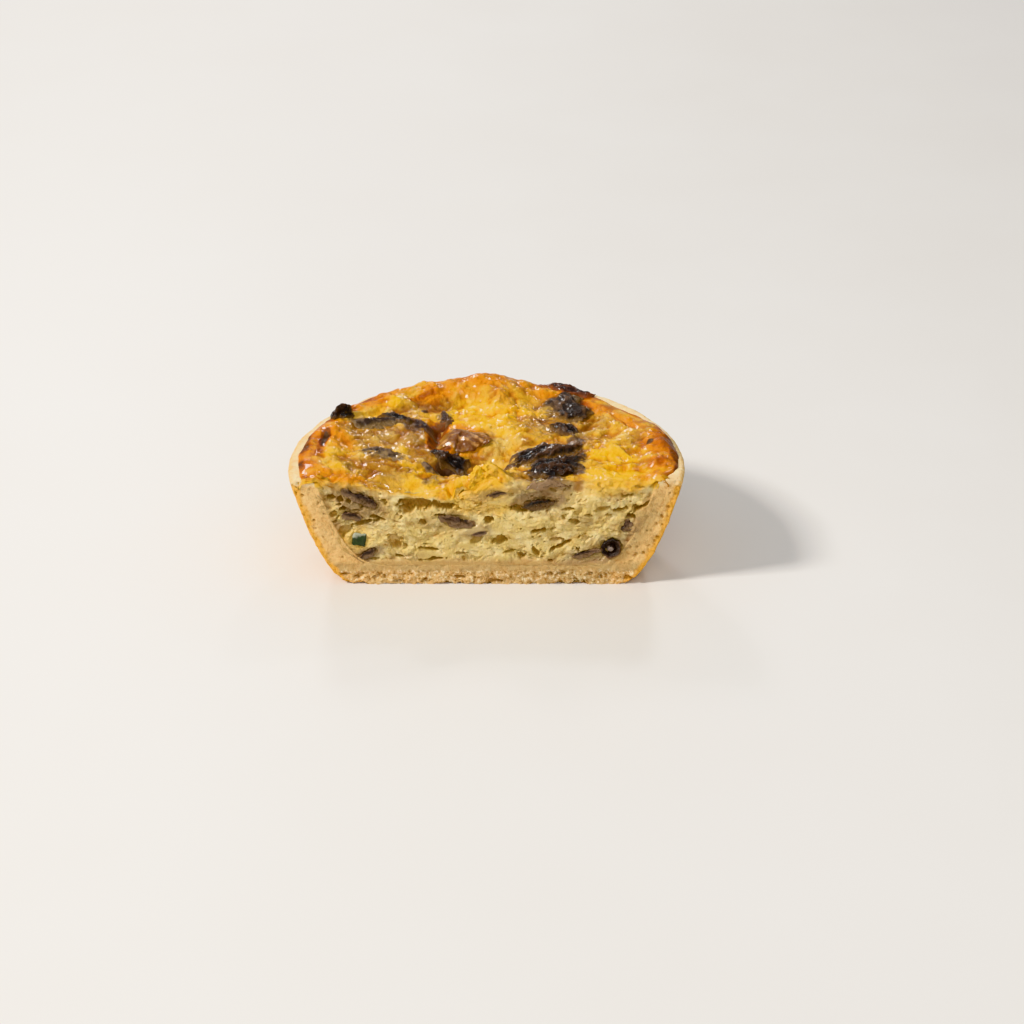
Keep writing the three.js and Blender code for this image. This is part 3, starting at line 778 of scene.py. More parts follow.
class Nodes:
    """Short hand for building one material's or one group's nodes."""

    def __init__(self, tree: bpy.types.NodeTree) -> None:
        """Starts with a tree."""
        self.tree = tree

    def add(self, kind: str, **values: object) -> bpy.types.Node:
        """Adds a node and sets its plain values and its inputs.

        Args:
            kind: the node's type.
            values: settings of the node, or inputs by name with underscores for spaces.

        Returns:
            The node.
        """
        node = self.tree.nodes.new(kind)
        for key, value in values.items():
            if hasattr(node, key):
                setattr(node, key, value)
            else:
                self.feed(node.inputs[key.replace("_", " ")], value)
        return node

    def feed(self, socket: Socket, value: object) -> None:
        """Links an output to a socket, or sets the socket's own value."""
        if isinstance(value, Socket):
            self.tree.links.new(value, socket)
        elif isinstance(value, tuple) and len(value) == 3 and socket.type == "RGBA":
            socket.default_value = (*value, 1.0)
        else:
            socket.default_value = value

    def mask(self, name: str) -> Socket:
        """Output that reads a piece's own mask."""
        return self.add("ShaderNodeAttribute", attribute_name=name).outputs["Fac"]

    def place(self) -> Socket:
        """Output with the place on the object."""
        return self.add("ShaderNodeTexCoord").outputs["Object"]

    def noise(self, place: object, size: float, detail: float = 3.0, rough: float = 0.55) -> Socket:
        """Noise with bumps of a size in millimetres, read at a place.

        Args:
            place: output with the place.
            size: millimetres from one bump to the next.
            detail: how many finer sizes are added.
            rough: how strong the finer ones are.

        Returns:
            Output from 0 to 1.
        """
        node = self.add("ShaderNodeTexNoise", Scale=1.0 / (size * MM), Detail=detail, Roughness=rough)
        self.feed(node.inputs["Vector"], place)
        return node.outputs["Fac"]

    def step(self, value: object, low: float, high: float, to: tuple = (0.0, 1.0)) -> Socket:
        """Smooth step of an output between two values."""
        node = self.add("ShaderNodeMapRange", interpolation_type="SMOOTHSTEP")
        for key, number in (("Value", value), ("From Min", low), ("From Max", high), ("To Min", to[0])):
            self.feed(node.inputs[key], number)
        self.feed(node.inputs["To Max"], to[1])
        return node.outputs["Result"]

    def sum(self, kind: str, a: object, b: object, clamp: bool = False) -> Socket:
        """Result of one arithmetic operation."""
        node = self.add("ShaderNodeMath", operation=kind, use_clamp=clamp)
        self.feed(node.inputs[0], a)
        self.feed(node.inputs[1], b)
        return node.outputs[0]

    def blend(self, share: object, a: object, b: object, kind: str = "MIX") -> Socket:
        """Colour between two colours.

        Args:
            share: how much of the second.
            a: the first colour.
            b: the second colour.
            kind: how they are blended.

        Returns:
            Output with the colour.
        """
        node = self.add("ShaderNodeMix", data_type="RGBA", blend_type=kind)
        self.feed(node.inputs[0], share)
        self.feed(node.inputs[6], a)
        self.feed(node.inputs[7], b)
        return node.outputs[2]


class Mottle:
    """Shared group: uneven tint and small specks, as all baked food has."""

    name = "baked mottle"

    @classmethod
    def group(cls) -> bpy.types.NodeTree:
        """Builds the group once and returns it.

        Returns:
            Group with a colour in, a mottled colour and a fine height out.
        """
        known = bpy.data.node_groups.get(cls.name)
        if known:
            return known
        tree = bpy.data.node_groups.new(cls.name, "ShaderNodeTree")
        for label, kind, low in (("Colour", "NodeSocketColor", None), ("Tint", "NodeSocketColor", None),
                                 ("Patch", "NodeSocketFloat", 0.3), ("Speck", "NodeSocketFloat", 0.2)):
            socket = tree.interface.new_socket(name=label, in_out="INPUT", socket_type=kind)
            if low is not None:
                socket.default_value = low
        tree.interface.new_socket(name="Colour", in_out="OUTPUT", socket_type="NodeSocketColor")
        tree.interface.new_socket(name="Height", in_out="OUTPUT", socket_type="NodeSocketFloat")
        n = Nodes(tree)
        given = n.add("NodeGroupInput")
        place = n.place()
        wide = n.step(n.noise(place, 5.5, 3.0, 0.6), 0.4, 0.66)
        fine = n.step(n.noise(place, 0.75, 2.0, 0.6), 0.5, 0.74)
        tinted = n.blend(n.sum("MULTIPLY", wide, given.outputs["Patch"]), given.outputs["Colour"],
                         given.outputs["Tint"])
        specked = n.blend(n.sum("MULTIPLY", fine, given.outputs["Speck"]), tinted, given.outputs["Tint"],
                          "MULTIPLY")
        out = n.add("NodeGroupOutput")
        n.feed(out.inputs["Colour"], specked)
        n.feed(out.inputs["Height"], n.noise(place, 0.32, 3.0, 0.6))
        return tree


@dataclass(frozen=True)
class Finish:
    """Values that every finish of the quiche has."""

    name: str
    roughness: float = 0.5
    gloss: float = 0.5
    oil: float = 0.0
    oil_roughness: float = 0.12
    depth: float = 0.0
    depth_colour: Colour = (1.0, 0.5, 0.2)
    depth_scale: float = 1.5
    bump: float = 0.1
    patch: float = 0.3
    speck: float = 0.25
    tint: Colour = (0.5, 0.4, 0.2)

    def colour(self, n: Nodes) -> Socket:
        """Colour before the mottle; each finish has its own."""
        raise NotImplementedError

    def height(self, n: Nodes, fine: Socket) -> Socket:
        """Fine height for the bump, from the mottle's own."""
        return fine

    def coat(self, n: Nodes) -> Socket:
        """Oil film over the surface, in wet and dry patches."""
        place = n.place()
        return n.step(n.noise(place, 3.2, 3.0), 0.4, 0.62, (0.12 * self.oil, self.oil))

    def wetness(self, n: Nodes) -> Socket:
        """Roughness over the surface."""
        place = n.place()
        low, high = self.roughness - 0.1, self.roughness + 0.12
        return n.step(n.noise(place, 2.4, 2.0), 0.35, 0.7, (low, high))

    def material(self) -> bpy.types.Material:
        """Builds the material.

        Returns:
            The material, with its shader's constants set on the shader itself.
        """
        made = bpy.data.materials.new(self.name)
        made.use_nodes = True
        n = Nodes(made.node_tree)
        shader = made.node_tree.nodes["Principled BSDF"]
        mottle = n.add("ShaderNodeGroup")
        mottle.node_tree = Mottle.group()
        n.feed(mottle.inputs["Colour"], self.colour(n))
        n.feed(mottle.inputs["Tint"], self.tint)
        n.feed(mottle.inputs["Patch"], self.patch)
        n.feed(mottle.inputs["Speck"], self.speck)
        n.feed(shader.inputs["Base Color"], mottle.outputs["Colour"])
        n.feed(shader.inputs["Roughness"], self.wetness(n))
        shader.inputs["Specular IOR Level"].default_value = self.gloss
        if self.oil:
            n.feed(shader.inputs["Coat Weight"], self.coat(n))
        shader.inputs["Coat Roughness"].default_value = self.oil_roughness
        shader.inputs["Subsurface Weight"].default_value = self.depth
        shader.inputs["Subsurface Radius"].default_value = self.depth_colour
        shader.inputs["Subsurface Scale"].default_value = self.depth_scale * MM
        bump = n.add("ShaderNodeBump", Strength=self.bump, Distance=0.4 * MM)
        n.feed(bump.inputs["Height"], self.height(n, mottle.outputs["Height"]))
        n.feed(shader.inputs["Normal"], bump.outputs["Normal"])
        return made


@dataclass(frozen=True)
class FillingFinish(Finish):
    """Custard and cheese: one colour field, so that the two meet without a line."""

    custard: Colour = paint(220, 192, 121)
    # Pale custard tone, also painted onto raised relief as a highlight
    fresh_and_lit: Colour = paint(244, 223, 162)
    # Painted shade inside pores and tears
    hole: Colour = paint(172, 126, 52)
    mauve: Colour = paint(142, 112, 86)
    gold: Colour = paint(250, 194, 64)
    damp: Colour = paint(200, 164, 106)
    pale: Colour = paint(230, 176, 58)
    rich: Colour = paint(255, 196, 6)
    olive: Colour = paint(174, 120, 36)
    murk: Colour = paint(92, 70, 56)
    orange: Colour = paint(230, 146, 16)
    brown: Colour = paint(186, 98, 8)
    burnt: Colour = paint(80, 38, 16)
    # Painted shade multiplied into creases
    crease_shade: Colour = paint(200, 156, 110)
    # Pale cream tone: the cheese's own on milky places, a painted highlight on raised lumps
    cream_and_highlight: Colour = paint(252, 220, 128)

    def colour(self, n: Nodes) -> Socket:
        """Colour of the cut and of the baked top, from the piece's masks, with painted highlights on raised
        relief and painted shade in pores, tears and creases.

        Args:
            n: the material's nodes.

        Returns:
            Output with the colour.
        """
        place = n.place()
        drift = n.noise(place, 3.0, 4.0, 0.62)
        shift = n.sum("SUBTRACT", drift, 0.5)
        cut = n.blend(n.step(drift, 0.42, 0.68), self.custard, self.fresh_and_lit)
        # Raised relief on the cut is painted paler: a painted highlight
        cut = n.blend(n.sum("MULTIPLY", n.mask("raised"), 0.6), cut, self.fresh_and_lit)
        cut = n.blend(n.mask("damp"), cut, self.damp)
        cut = n.blend(n.mask("gold"), cut, self.gold)
        cut = n.blend(n.mask("mauve"), cut, self.mauve)
        # Pores and tears are darkened: painted shade
        cut = n.blend(n.mask("hollow"), cut, self.hole)
        top = n.blend(n.step(n.sum("ADD", n.mask("rich"), shift), 0.1, 0.9), self.pale, self.rich)
        top = n.blend(n.step(n.sum("ADD", n.mask("olive"), shift), 0.0, 0.8), top, self.olive)
        # Cream on raised lumps is a painted highlight; on milky places it is the cheese's own pale tone
        cream_and_highlight_share = n.sum("MULTIPLY", n.mask("creamy"), n.step(drift, 0.4, 0.62, (0.25, 0.75)))
        top = n.blend(cream_and_highlight_share, top, self.cream_and_highlight)
        toast = n.sum("ADD", n.mask("browned"), n.sum("MULTIPLY", shift, 0.45))
        top = n.blend(n.step(toast, 0.06, 0.5), top, self.orange)
        top = n.blend(n.step(toast, 0.4, 0.9), top, self.brown)
        top = n.blend(n.step(toast, 0.78, 1.15), top, self.burnt)
        murk = n.sum("ADD", n.mask("murk"), n.sum("MULTIPLY", shift, 0.9))
        top = n.blend(n.step(murk, 0.25, 1.0), top, self.murk)
        both = n.blend(n.mask("top"), cut, top)
        # Creases are darkened by multiplying: painted shade
        return n.blend(n.mask("crease"), both, n.blend(1.0, both, self.crease_shade, "MULTIPLY"))

    def coat(self, n: Nodes) -> Socket:
        """Oil film, thinner where the top has browned."""
        dry = n.step(n.mask("browned"), 0.2, 0.9, (1.0, 0.45))
        return n.sum("MULTIPLY", super(FillingFinish, self).coat(n), dry)

    def height(self, n: Nodes, fine: Socket) -> Socket:
        """Fine height with the small blisters of the baked top added."""
        place = n.place()
        blisters = n.sum("MULTIPLY", n.noise(place, 0.95, 2.0, 0.5), n.mask("top"))
        return n.sum("ADD", n.sum("MULTIPLY", fine, 0.95), n.sum("MULTIPLY", blisters, 1.5))


@dataclass(frozen=True)
class PastryFinish(Finish):
    """Shortcrust: pale crumb at the cut, golden skin outside."""

    crumb: Colour = paint(246, 206, 142)
    sand: Colour = paint(208, 162, 98)
    damp: Colour = paint(206, 174, 120)
    flour: Colour = paint(252, 232, 192)
    # Dark grains of the sandy floor, and painted shade in pores
    dark_grain_and_pore_shade: Colour = paint(166, 116, 58)
    skin: Colour = paint(242, 196, 116)
    toasted: Colour = paint(222, 158, 76)
    gilt: Colour = paint(241, 180, 80)
    rim: Colour = paint(254, 231, 184)

    def colour(self, n: Nodes) -> Socket:
        """Colour of crumb, damp floor, skin and rim, from the piece's masks, with painted shade in pores.

        Args:
            n: the material's nodes.

        Returns:
            Output with the colour.
        """
        place = n.place()
        drift = n.noise(place, 1.5, 4.0, 0.65)
        grain = n.noise(place, 0.7, 3.0, 0.65)
        wide = n.noise(place, 3.4, 3.0, 0.6)
        body = n.blend(n.step(wide, 0.38, 0.7, (0.0, 0.45)), self.crumb, self.sand)
        body = n.blend(n.sum("MULTIPLY", n.mask("sandy"), 0.35), body, self.sand)
        body = n.blend(n.step(grain, 0.34, 0.46, (0.5, 0.0)), body, self.sand)
        body = n.blend(n.mask("damp"), body, self.damp)
        body = n.blend(n.sum("MULTIPLY", n.mask("sandy"), n.step(grain, 0.52, 0.66)), body, self.flour)
        body = n.blend(n.sum("MULTIPLY", n.mask("sandy"), n.step(grain, 0.46, 0.34)), body, self.dark_grain_and_pore_shade)
        uneven = n.sum("MULTIPLY", n.sum("SUBTRACT", drift, 0.5), 0.35)
        blush = n.sum("ADD", n.noise(place, 9.0, 4.0, 0.6), uneven)
        crust = n.blend(n.step(blush, 0.3, 0.75), self.skin, self.toasted)
        body = n.blend(n.mask("skin"), body, crust)
        body = n.blend(n.sum("MULTIPLY", n.mask("gilded"), 0.8), body, self.gilt)
        rim = n.blend(n.step(wide, 0.42, 0.66, (0.0, 0.5)), self.rim, self.crumb)
        worn = n.sum("MULTIPLY", n.mask("edge"), n.step(drift, 0.36, 0.6, (0.35, 1.0)))
        rim = n.blend(worn, rim, self.skin)
        body = n.blend(n.mask("rim"), body, rim)
        # Pores are darkened: painted shade
        return n.blend(n.mask("hollow"), body, self.dark_grain_and_pore_shade)

    def height(self, n: Nodes, fine: Socket) -> Socket:
        """Fine height with the crumb's grains added."""
        place = n.place()
        grain = n.noise(place, 0.7, 3.0, 0.65)
        return n.sum("ADD", n.sum("MULTIPLY", fine, 0.5), n.sum("MULTIPLY", grain, 1.1))


@dataclass(frozen=True)
class MushroomFinish(Finish):
    """Cooked mushroom: dark wet skin, paler flesh on its edges and crests."""

    dark: Colour = paint(38, 28, 26)
    flesh: Colour = paint(112, 84, 62)
    film: Colour = paint(118, 84, 44)

    def colour(self, n: Nodes) -> Socket:
        """Colour between dark folds and paler crests.

        Args:
            n: the material's nodes.

        Returns:
            Output with the colour.
        """
        place = n.place()
        drift = n.sum("MULTIPLY", n.step(n.noise(place, 1.5, 3.0), 0.3, 0.75), 0.6)
        share = n.sum("ADD", n.sum("MULTIPLY", n.mask("crest"), 0.75), drift, clamp=True)
        body = n.blend(n.step(share, 0.35, 1.1), self.dark, self.flesh)
        return n.blend(n.mask("film"), body, self.film)


class Pastry:
    """Shortcrust case: floor, flared wall and rim, with crumb, pores and a golden skin."""

    cell: float = 0.36
    steps: int = 180
    covered_height: float = 29.0
    hidden_share: float = 0.36

    def profile(self) -> list:
        """Corners of the case's section, from the axis back to the axis."""
        inner = FORM.rim_radius - FORM.wall
        outside = [0.0, 0.3, 0.9, 2.0, 3.6, 6.0, 9.4, 13.6, 18.4, 23.4, 27.0, FORM.rim_height - 1.6]
        inside = [FORM.rim_height - 2.6, 26, 20, 14, 10, 8, 7, 6.4, FORM.floor]
        return [
            (0.0, 0.0),
            *[(float(FORM.outside_radius(z)), z) for z in outside],
            (FORM.rim_radius - 0.25, FORM.rim_height - 0.6),
            (FORM.rim_radius - 1.0, FORM.rim_height - 0.05),
            (FORM.rim_radius - 2.6, FORM.rim_height + 0.1),
            (inner + 1.4, FORM.rim_height - 0.1),
            (inner + 0.3, FORM.rim_height - 0.8),
            *[(float(FORM.hollow_radius(z)), z) for z in inside],
            (0.0, FORM.floor),
        ]

    def sculpt(self, piece: Piece) -> None:
        """Gives the case its relief and the masks of its finish.

        Args:
            piece: the case as a fine even mesh.
        """
        at = Bench.points(piece)
        x, y, z = at[:, 0], at[:, 1], at[:, 2]
        radius = np.hypot(x, y)
        p = (x, y, z)
        outer = eased(2.2, 0.3, FORM.outside_radius(z) - radius)
        face = eased(1.4, 0.2, y - FORM.cut_y)
        top = eased(FORM.rim_height - 3.0, FORM.rim_height - 0.6, z)
        low = eased(4.6, 2.6, z)
        under = eased(0.7, 0.15, z)

        skin = 0.34 * Grain.crags(p, 9.0, 101, 3) + 0.27 * Grain.crags(p, 1.9, 105, 3, 0.6)
        bent = Grain.warped(p, 1.6, 0.45, 109)
        pocks = 0.6 * Grain.pits(bent, 2.6, 111, 0.34, 0.6) + 0.3 * Grain.pits(bent, 1.3, 115, 0.42, 0.6)
        skin = (skin - pocks) * (1.0 - 0.8 * top) * (1.0 - 0.6 * under)

        crumb = 0.34 * Grain.crags(p, 1.7, 121, 4, 0.62)
        pores = 0.9 * Grain.pits(bent, 1.9, 131, 0.3, 0.5) + 0.5 * Grain.pits(bent, 1.1, 135, 0.38, 0.5)
        pores = pores + 0.8 * eased(3.0, 1.0, FORM.outside_radius(z) - radius) * (
            Grain.pits(bent, 1.5, 137, 0.42, 0.6) + 0.5 * eased(0.1, 0.5, Grain.crags(p, 1.4, 139, 3)))
        layered = (x / 2.6, y, z)
        gaps = 1.1 * eased(0.42, 0.75, Grain.soft(layered, 1.05, 141) + 0.4 * Grain.soft(p, 0.8, 142))
        sandy = 0.42 * Grain.crags(p, 0.85, 145, 3, 0.6) + gaps
        wall_share = eased(FORM.floor, FORM.floor + 2.5, z)
        cut = crumb + pores * mixed(0.35, 1.0, wall_share) + low * sandy

        ragged = 1.9 * np.clip(Grain.crags(p, 2.2, 151, 4, 0.65), 0.0, 1.0) * eased(1.8, 0.3, z) * face
        x_new = x + skin * outer * x / np.maximum(radius, 1.0)
        y_new = y + skin * outer * y / np.maximum(radius, 1.0) + cut * face
        crown = FORM.rim_crown(x, y) - FORM.rim_height + 0.3 * Grain.crags(p, 3.0, 161, 4, 0.6)
        z_new = z + top * crown + np.clip(ragged, -0.15, 1.0) * (1 - wall_share)
        z_new = np.maximum(z_new, 0.0)
        Bench.move(piece, np.stack([x_new, y_new, z_new], axis=1))

        fade = Grain.crags(p, 3.0, 171, 2)
        edge = eased(2.3, 0.5, FORM.outside_radius(z) - radius + 1.5 * Grain.crags(p, 1.9, 173, 4, 0.65))
        inner_edge = FORM.rim_radius - FORM.wall + 0.5
        rim = eased(FORM.rim_height - 2.2, FORM.rim_height - 0.7, z + 0.4 * fade) * eased(
            inner_edge - 1, inner_edge, radius)
        damp = eased(3.0, 4.2, z + 0.4 * fade) * eased(FORM.floor + 1.2, FORM.floor - 0.2, z)
        near = radius - FORM.hollow_radius(np.clip(z, FORM.floor, None))
        inner = 0.35 + 0.6 * eased(-10.0, 20.0, x)
        damp = np.maximum(damp, inner * eased(5.4, 2.0, near + 1.0 * fade) * eased(32, 22, z))
        Bench.mask(piece, "skin", np.maximum(edge * (1 - 0.6 * under * face), under * (1 - face)) * (1 - rim))
        Bench.mask(piece, "gilded", edge * face * (1 - 0.7 * eased(1.6, 0.4, z)) * (1 - rim))
        Bench.mask(piece, "rim", rim)
        Bench.mask(piece, "edge", eased(FORM.rim_radius - 2.0, FORM.rim_radius - 0.2, radius + 0.8 * fade))
        Bench.mask(piece, "damp", damp * face)
        Bench.mask(piece, "sandy", eased(5.0, 3.4, z) * face)
        # Pores and deep crumb, darkened as painted shade
        Bench.mask(piece, "hollow", 0.75 * eased(0.4, 1.3, cut) * face)

    def build(self) -> Piece:
        """Builds the case.

        Returns:
            The finished piece.
        """
        piece = Bench.turned("shortcrust_case", self.profile(), self.steps)
        Bench.slice_off(piece, FORM.cut_y)
        Bench.apply(piece, "REMESH", mode="VOXEL", voxel_size=self.cell * MM, adaptivity=0.0)
        at = Bench.points(piece)
        radius = np.hypot(at[:, 0], at[:, 1])
        inside = radius < FORM.hollow_radius(np.clip(at[:, 2], FORM.floor, None)) + 0.7
        covered = inside & (at[:, 2] > FORM.floor - 0.5) & (at[:, 2] < self.covered_height)
        covered &= at[:, 1] > FORM.cut_y + 1.0
        beneath = (at[:, 2] < 0.2) & (radius < FORM.foot_radius - 1.5) & (at[:, 1] > FORM.cut_y + 2.0)
        Bench.thin_hidden(piece, (covered | beneath).astype(float), self.hidden_share)
        self.sculpt(piece)
        Bench.settle(piece)
        finish = PastryFinish("shortcrust", roughness=0.78, gloss=0.25, depth=0.12, depth_scale=0.8,
                              depth_colour=(1.0, 0.6, 0.3), bump=0.8, patch=0.25, speck=0.3,
                              tint=paint(214, 160, 92))
        piece.data.materials.append(finish.material())
        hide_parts("pastry_case")
        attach(piece, "root")
        return piece


class Paint:
    """Masks of the filling's finish, on the cut and on the baked top."""

    # Deep yellow cheese
    rich = (
        Blot(3, 10, 7, 6, 0, 0.7), Blot(-20, -2, 5, 4, 0, 0.7), Blot(-1, 25, 13, 7, 10, 1.9),
        Blot(6, 20, 6, 4.4, 0, 1.1), Blot(36, -6.5, 12, 4.4, 4, 1.3), Blot(33.6, 5, 9, 6.6, 0, 1.1),
        Blot(-40, -2, 6, 2.4, 0, 0.5), Blot(-17.4, -7, 7, 2.4, -12, 0.9), Blot(-1, -7.4, 9.5, 4.8, 8, 1.3),
        Blot(-26.7, 35.5, 3.4, 2.8, 20, 1.1), Blot(-22, 9.6, 2.6, 2.4, 0, 0.9),
        Blot(-5, 33, 7, 4, 10, 0.9), Blot(30, 27, 6, 3, 130, 0.6), Blot(12, 19, 3, 3, 0, 0.5),
        Blot(11, 26, 3, 3, 0, 0.5), Blot(40, 27, 7, 2.4, 130, 0.8), Blot(-43, 5, 4, 3, 0, 0.5),
    )
    # Cheese stained by oil and mushroom
    olive = (
        Blot(-29, 15, 11, 6, -4, 0.95), Blot(-18, 17, 6, 8, -30, 0.95), Blot(-29, -1.2, 9, 4.6, -14, 0.75),
        Blot(-30, -8, 7, 2, 0, 0.6), Blot(-12.6, -9.4, 4.6, 1.6, 0, 0.3), Blot(-12, 6, 9, 7, -30, 0.9),
        Blot(-1, 11, 8, 7, -20, 0.6), Blot(2, 2, 5, 6, 10, 0.4), Blot(-14.6, 36, 5.6, 4.6, 0, 0.8),
        Blot(14, 22, 8, 6, 30, 0.6), Blot(26, 12, 5, 8, 0, 0.55), Blot(9, 6, 6, 9, -14, 0.5),
        Blot(12, -8, 8, 3.4, 6, 0.8), Blot(28, 24, 9, 6, 40, 0.6), Blot(22, 27, 8, 5, 20, 0.8),
        Blot(-22, 31, 7, 4, 30, 0.55), Blot(40, 12, 5, 6, 0, 0.5), Blot(-33.5, 18, 6, 5, 0, 0.75),
        Blot(-7, 15.6, 8, 4.8, -20, 0.9),
    )
    # Dark juice round the slices, and painted shade in the slit at the left rim
    murk = (
        Blot(-33, 24, 6.4, 3.6, 4, 0.8), Blot(-26.2, 24.4, 3.6, 2.6, -30, 0.8),
        Blot(-20.5, 21.4, 5.2, 2.6, -48, 0.8), Blot(-27.2, 5.2, 7.6, 2.6, -20, 0.7),
        Blot(-14.8, -4.6, 3, 2.6, -40, 0.7), Blot(-9.6, 3.2, 4.8, 3, -10, 1.1),
        Blot(-17.2, 31.4, 1.2, 1.4, 0, 1.3), Blot(-12, 27.6, 3, 4, 0, 0.65),
        Blot(20.6, 33, 5.6, 8.4, -20, 0.7), Blot(15.4, 34, 3.4, 2, 0, 0.6),
        Blot(20.4, 19, 4.4, 2.6, -38, 0.8), Blot(23.6, 13.2, 2.4, 3, 0, 0.9),
        Blot(16, 4, 11, 5.4, 33, 0.95), Blot(19, -3.6, 8.6, 5.6, 20), Blot(26.4, 2.6, 4, 3, 30, 0.3),
        Blot(22.5, 2.6, 4.6, 3.4, 30, 1.1), Blot(12.6, -0.6, 4.6, 3, 30, 0.7),
        Blot(15.5, -9.5, 7, 2.6, 0, 0.75), Blot(43.9, 8.6, 0.9, 1.5, -20, 1.4),
        # Blot(-43.9, 11.5) darkens the slit at the left rim: painted shade in the crack
        Blot(-43.9, 11.5, 0.8, 3.4, -8, 1.3), Blot(-39.6, 26.4, 3.4, 3.2, 0, 0.8),
        Blot(-2, 8.6, 5, 3, 10, 0.2), Blot(3.4, 0, 2.4, 4, 0, 0.2),
    )
    # Browned and burnt places, and painted shade in the slit at the left rim
    brown = (
        Blot(-2, 46.6, 15, 6.4, 0, 0.5), Blot(-1, 50.6, 12, 1.8, 0, 0.62), Blot(4.5, 37, 5, 4, -50, 0.28),
        Blot(5, 31, 4.6, 3.6, 0, 0.2), Blot(10, 42, 5, 3, -40, 0.4), Blot(-15, 41, 6, 4, 0, 0.45),
        Blot(-18, 39.4, 4, 1, 30, 0.8), Blot(-28, 39, 10, 3.4, 40, 0.45),
        Blot(-32, 38.6, 13, 1.4, 42, 0.8), Blot(-38, 31, 4, 2.4, 44, 0.8), Blot(-45.5, 15, 5, 7, 0, 0.58),
        Blot(-48.8, 12, 1.8, 9, 0, 0.95), Blot(-47.6, 4, 3, 3.4, 0, 0.55),
        # Blot(-44, 11.5) burns the slit at the left rim dark: painted shade in the crack
        Blot(-48, -1.8, 3.6, 3.8, 0, 0.72), Blot(-44, 11.5, 1.3, 4.8, -8, 1.9),
        Blot(-40, 12, 4, 4, 0, 0.42), Blot(-46, 20.4, 2.6, 3.4, 40, 0.8), Blot(-42.6, 24, 3, 3, 40, 0.8),
        Blot(47.4, 10, 4.6, 8, 0, 0.82), Blot(50.4, 6, 2.2, 9, 4, 1.1), Blot(47.4, -1.4, 4, 3.4, 0, 0.74),
        Blot(51, -3, 1.6, 4, 0, 0.95), Blot(43.9, 8.6, 2.8, 3.2, 0, 0.55), Blot(38, 25, 9, 2.6, 130, 0.42),
        Blot(36.6, 24.2, 9, 0.8, -53, 0.75), Blot(30, 33, 4.4, 2.6, 130, 0.5),
        Blot(25, 40.4, 6.4, 2.2, -24, 0.95), Blot(19, 44.6, 7.4, 1.8, -12, 0.9),
        Blot(-13.2, 17.2, 2.8, 7, 4, 1.9), Blot(-10.6, 9.6, 2.2, 3, 0, 0.65),
        Blot(17.4, 1.8, 4, 1.6, 30, 1.4), Blot(-10, 3, 3.4, 1.6, 0, 1.3),
        Blot(17.6, 39.6, 5, 2.2, -26, 0.45), Blot(24, 36, 5, 3, -40, 1.2),
        Blot(-7, 13.6, 7, 2.6, -34, 0.5), Blot(44.4, -8, 5, 3, 0, 0.42), Blot(-40, -7, 7.5, 3, -8, 0.45),
        Blot(-45.4, -9, 3.6, 3, 0, 0.62), Blot(40, 29, 7, 1.6, 130, 0.42), Blot(-6, 20, 5, 2.4, -30, 0.5),
    )

    # Places where the cheese stayed pale
    milky = (
        Blot(3, 12, 7.5, 6, 0, 0.85), Blot(6, 0, 5.5, 6, 0, 0.85), Blot(-3, -4, 5, 3, 0, 0.5),
        Blot(-20, -6, 7, 3, -12, 0.55), Blot(-26, 14, 9, 5, 0, 0.45), Blot(26, 22, 9, 5, 20, 0.35),
    )

    @staticmethod
    def field(blots: tuple, x: Array, y: Array, ragged: Array, soft: float = 0.45) -> Array:
        """Strongest of several blots at each point."""
        made = np.zeros_like(x)
        for blot in blots:
            made = np.maximum(made, blot.patch(x, y, ragged, soft))
        return made

    @staticmethod
    def top(piece: Piece, at: Array, share: Array) -> None:
        """Masks of the baked top, with painted highlights on raised lumps and painted shade in creases.

        Args:
            piece: the piece.
            at: its points, in millimetres.
            share: how far each point belongs to the top rather than to the cut.
        """
        x, y = at[:, 0], at[:, 1]
        p = (x, y, np.zeros_like(x))
        ragged = 0.55 * Grain.crags(p, 3.6, 201, 4, 0.62)
        raised = Surface.lumps(x, y)
        border = eased(2.6, 0.2, FORM.cheese_reach(x, y) - np.hypot(x, y) + 1.2 * ragged)
        brown = Paint.field(Paint.brown, x, y, ragged, 0.75)
        browned = brown * (1.0 + 0.35 * raised) + 0.35 * border
        Bench.mask(piece, "rich", Paint.field(Paint.rich, x, y, ragged, 0.7))
        olive = Paint.field(Paint.olive, x, y, ragged, 0.7)
        # Stain is thinner on raised lumps: partly pooled oil, partly painted light on the lump tops
        Bench.mask(piece, "olive", olive * (1 - 0.35 * eased(0.0, 0.8, raised)))
        Bench.mask(piece, "murk", Paint.field(Paint.murk, x, y, ragged) * (1 - 0.3 * eased(0.1, 0.9, raised)))
        Bench.mask(piece, "browned", browned)
        milky = Paint.field(Paint.milky, x, y, ragged, 0.7)
        # Cream on raised lumps is a painted highlight; the milky places are the cheese's own pale tone
        Bench.mask(piece, "creamy", np.maximum(0.9 * eased(0.0, 0.6, raised), milky))
        # Creases between lumps, darkened as painted shade
        Bench.mask(piece, "crease", 0.85 * eased(0.05, -0.55, raised))
        Bench.mask(piece, "top", share)

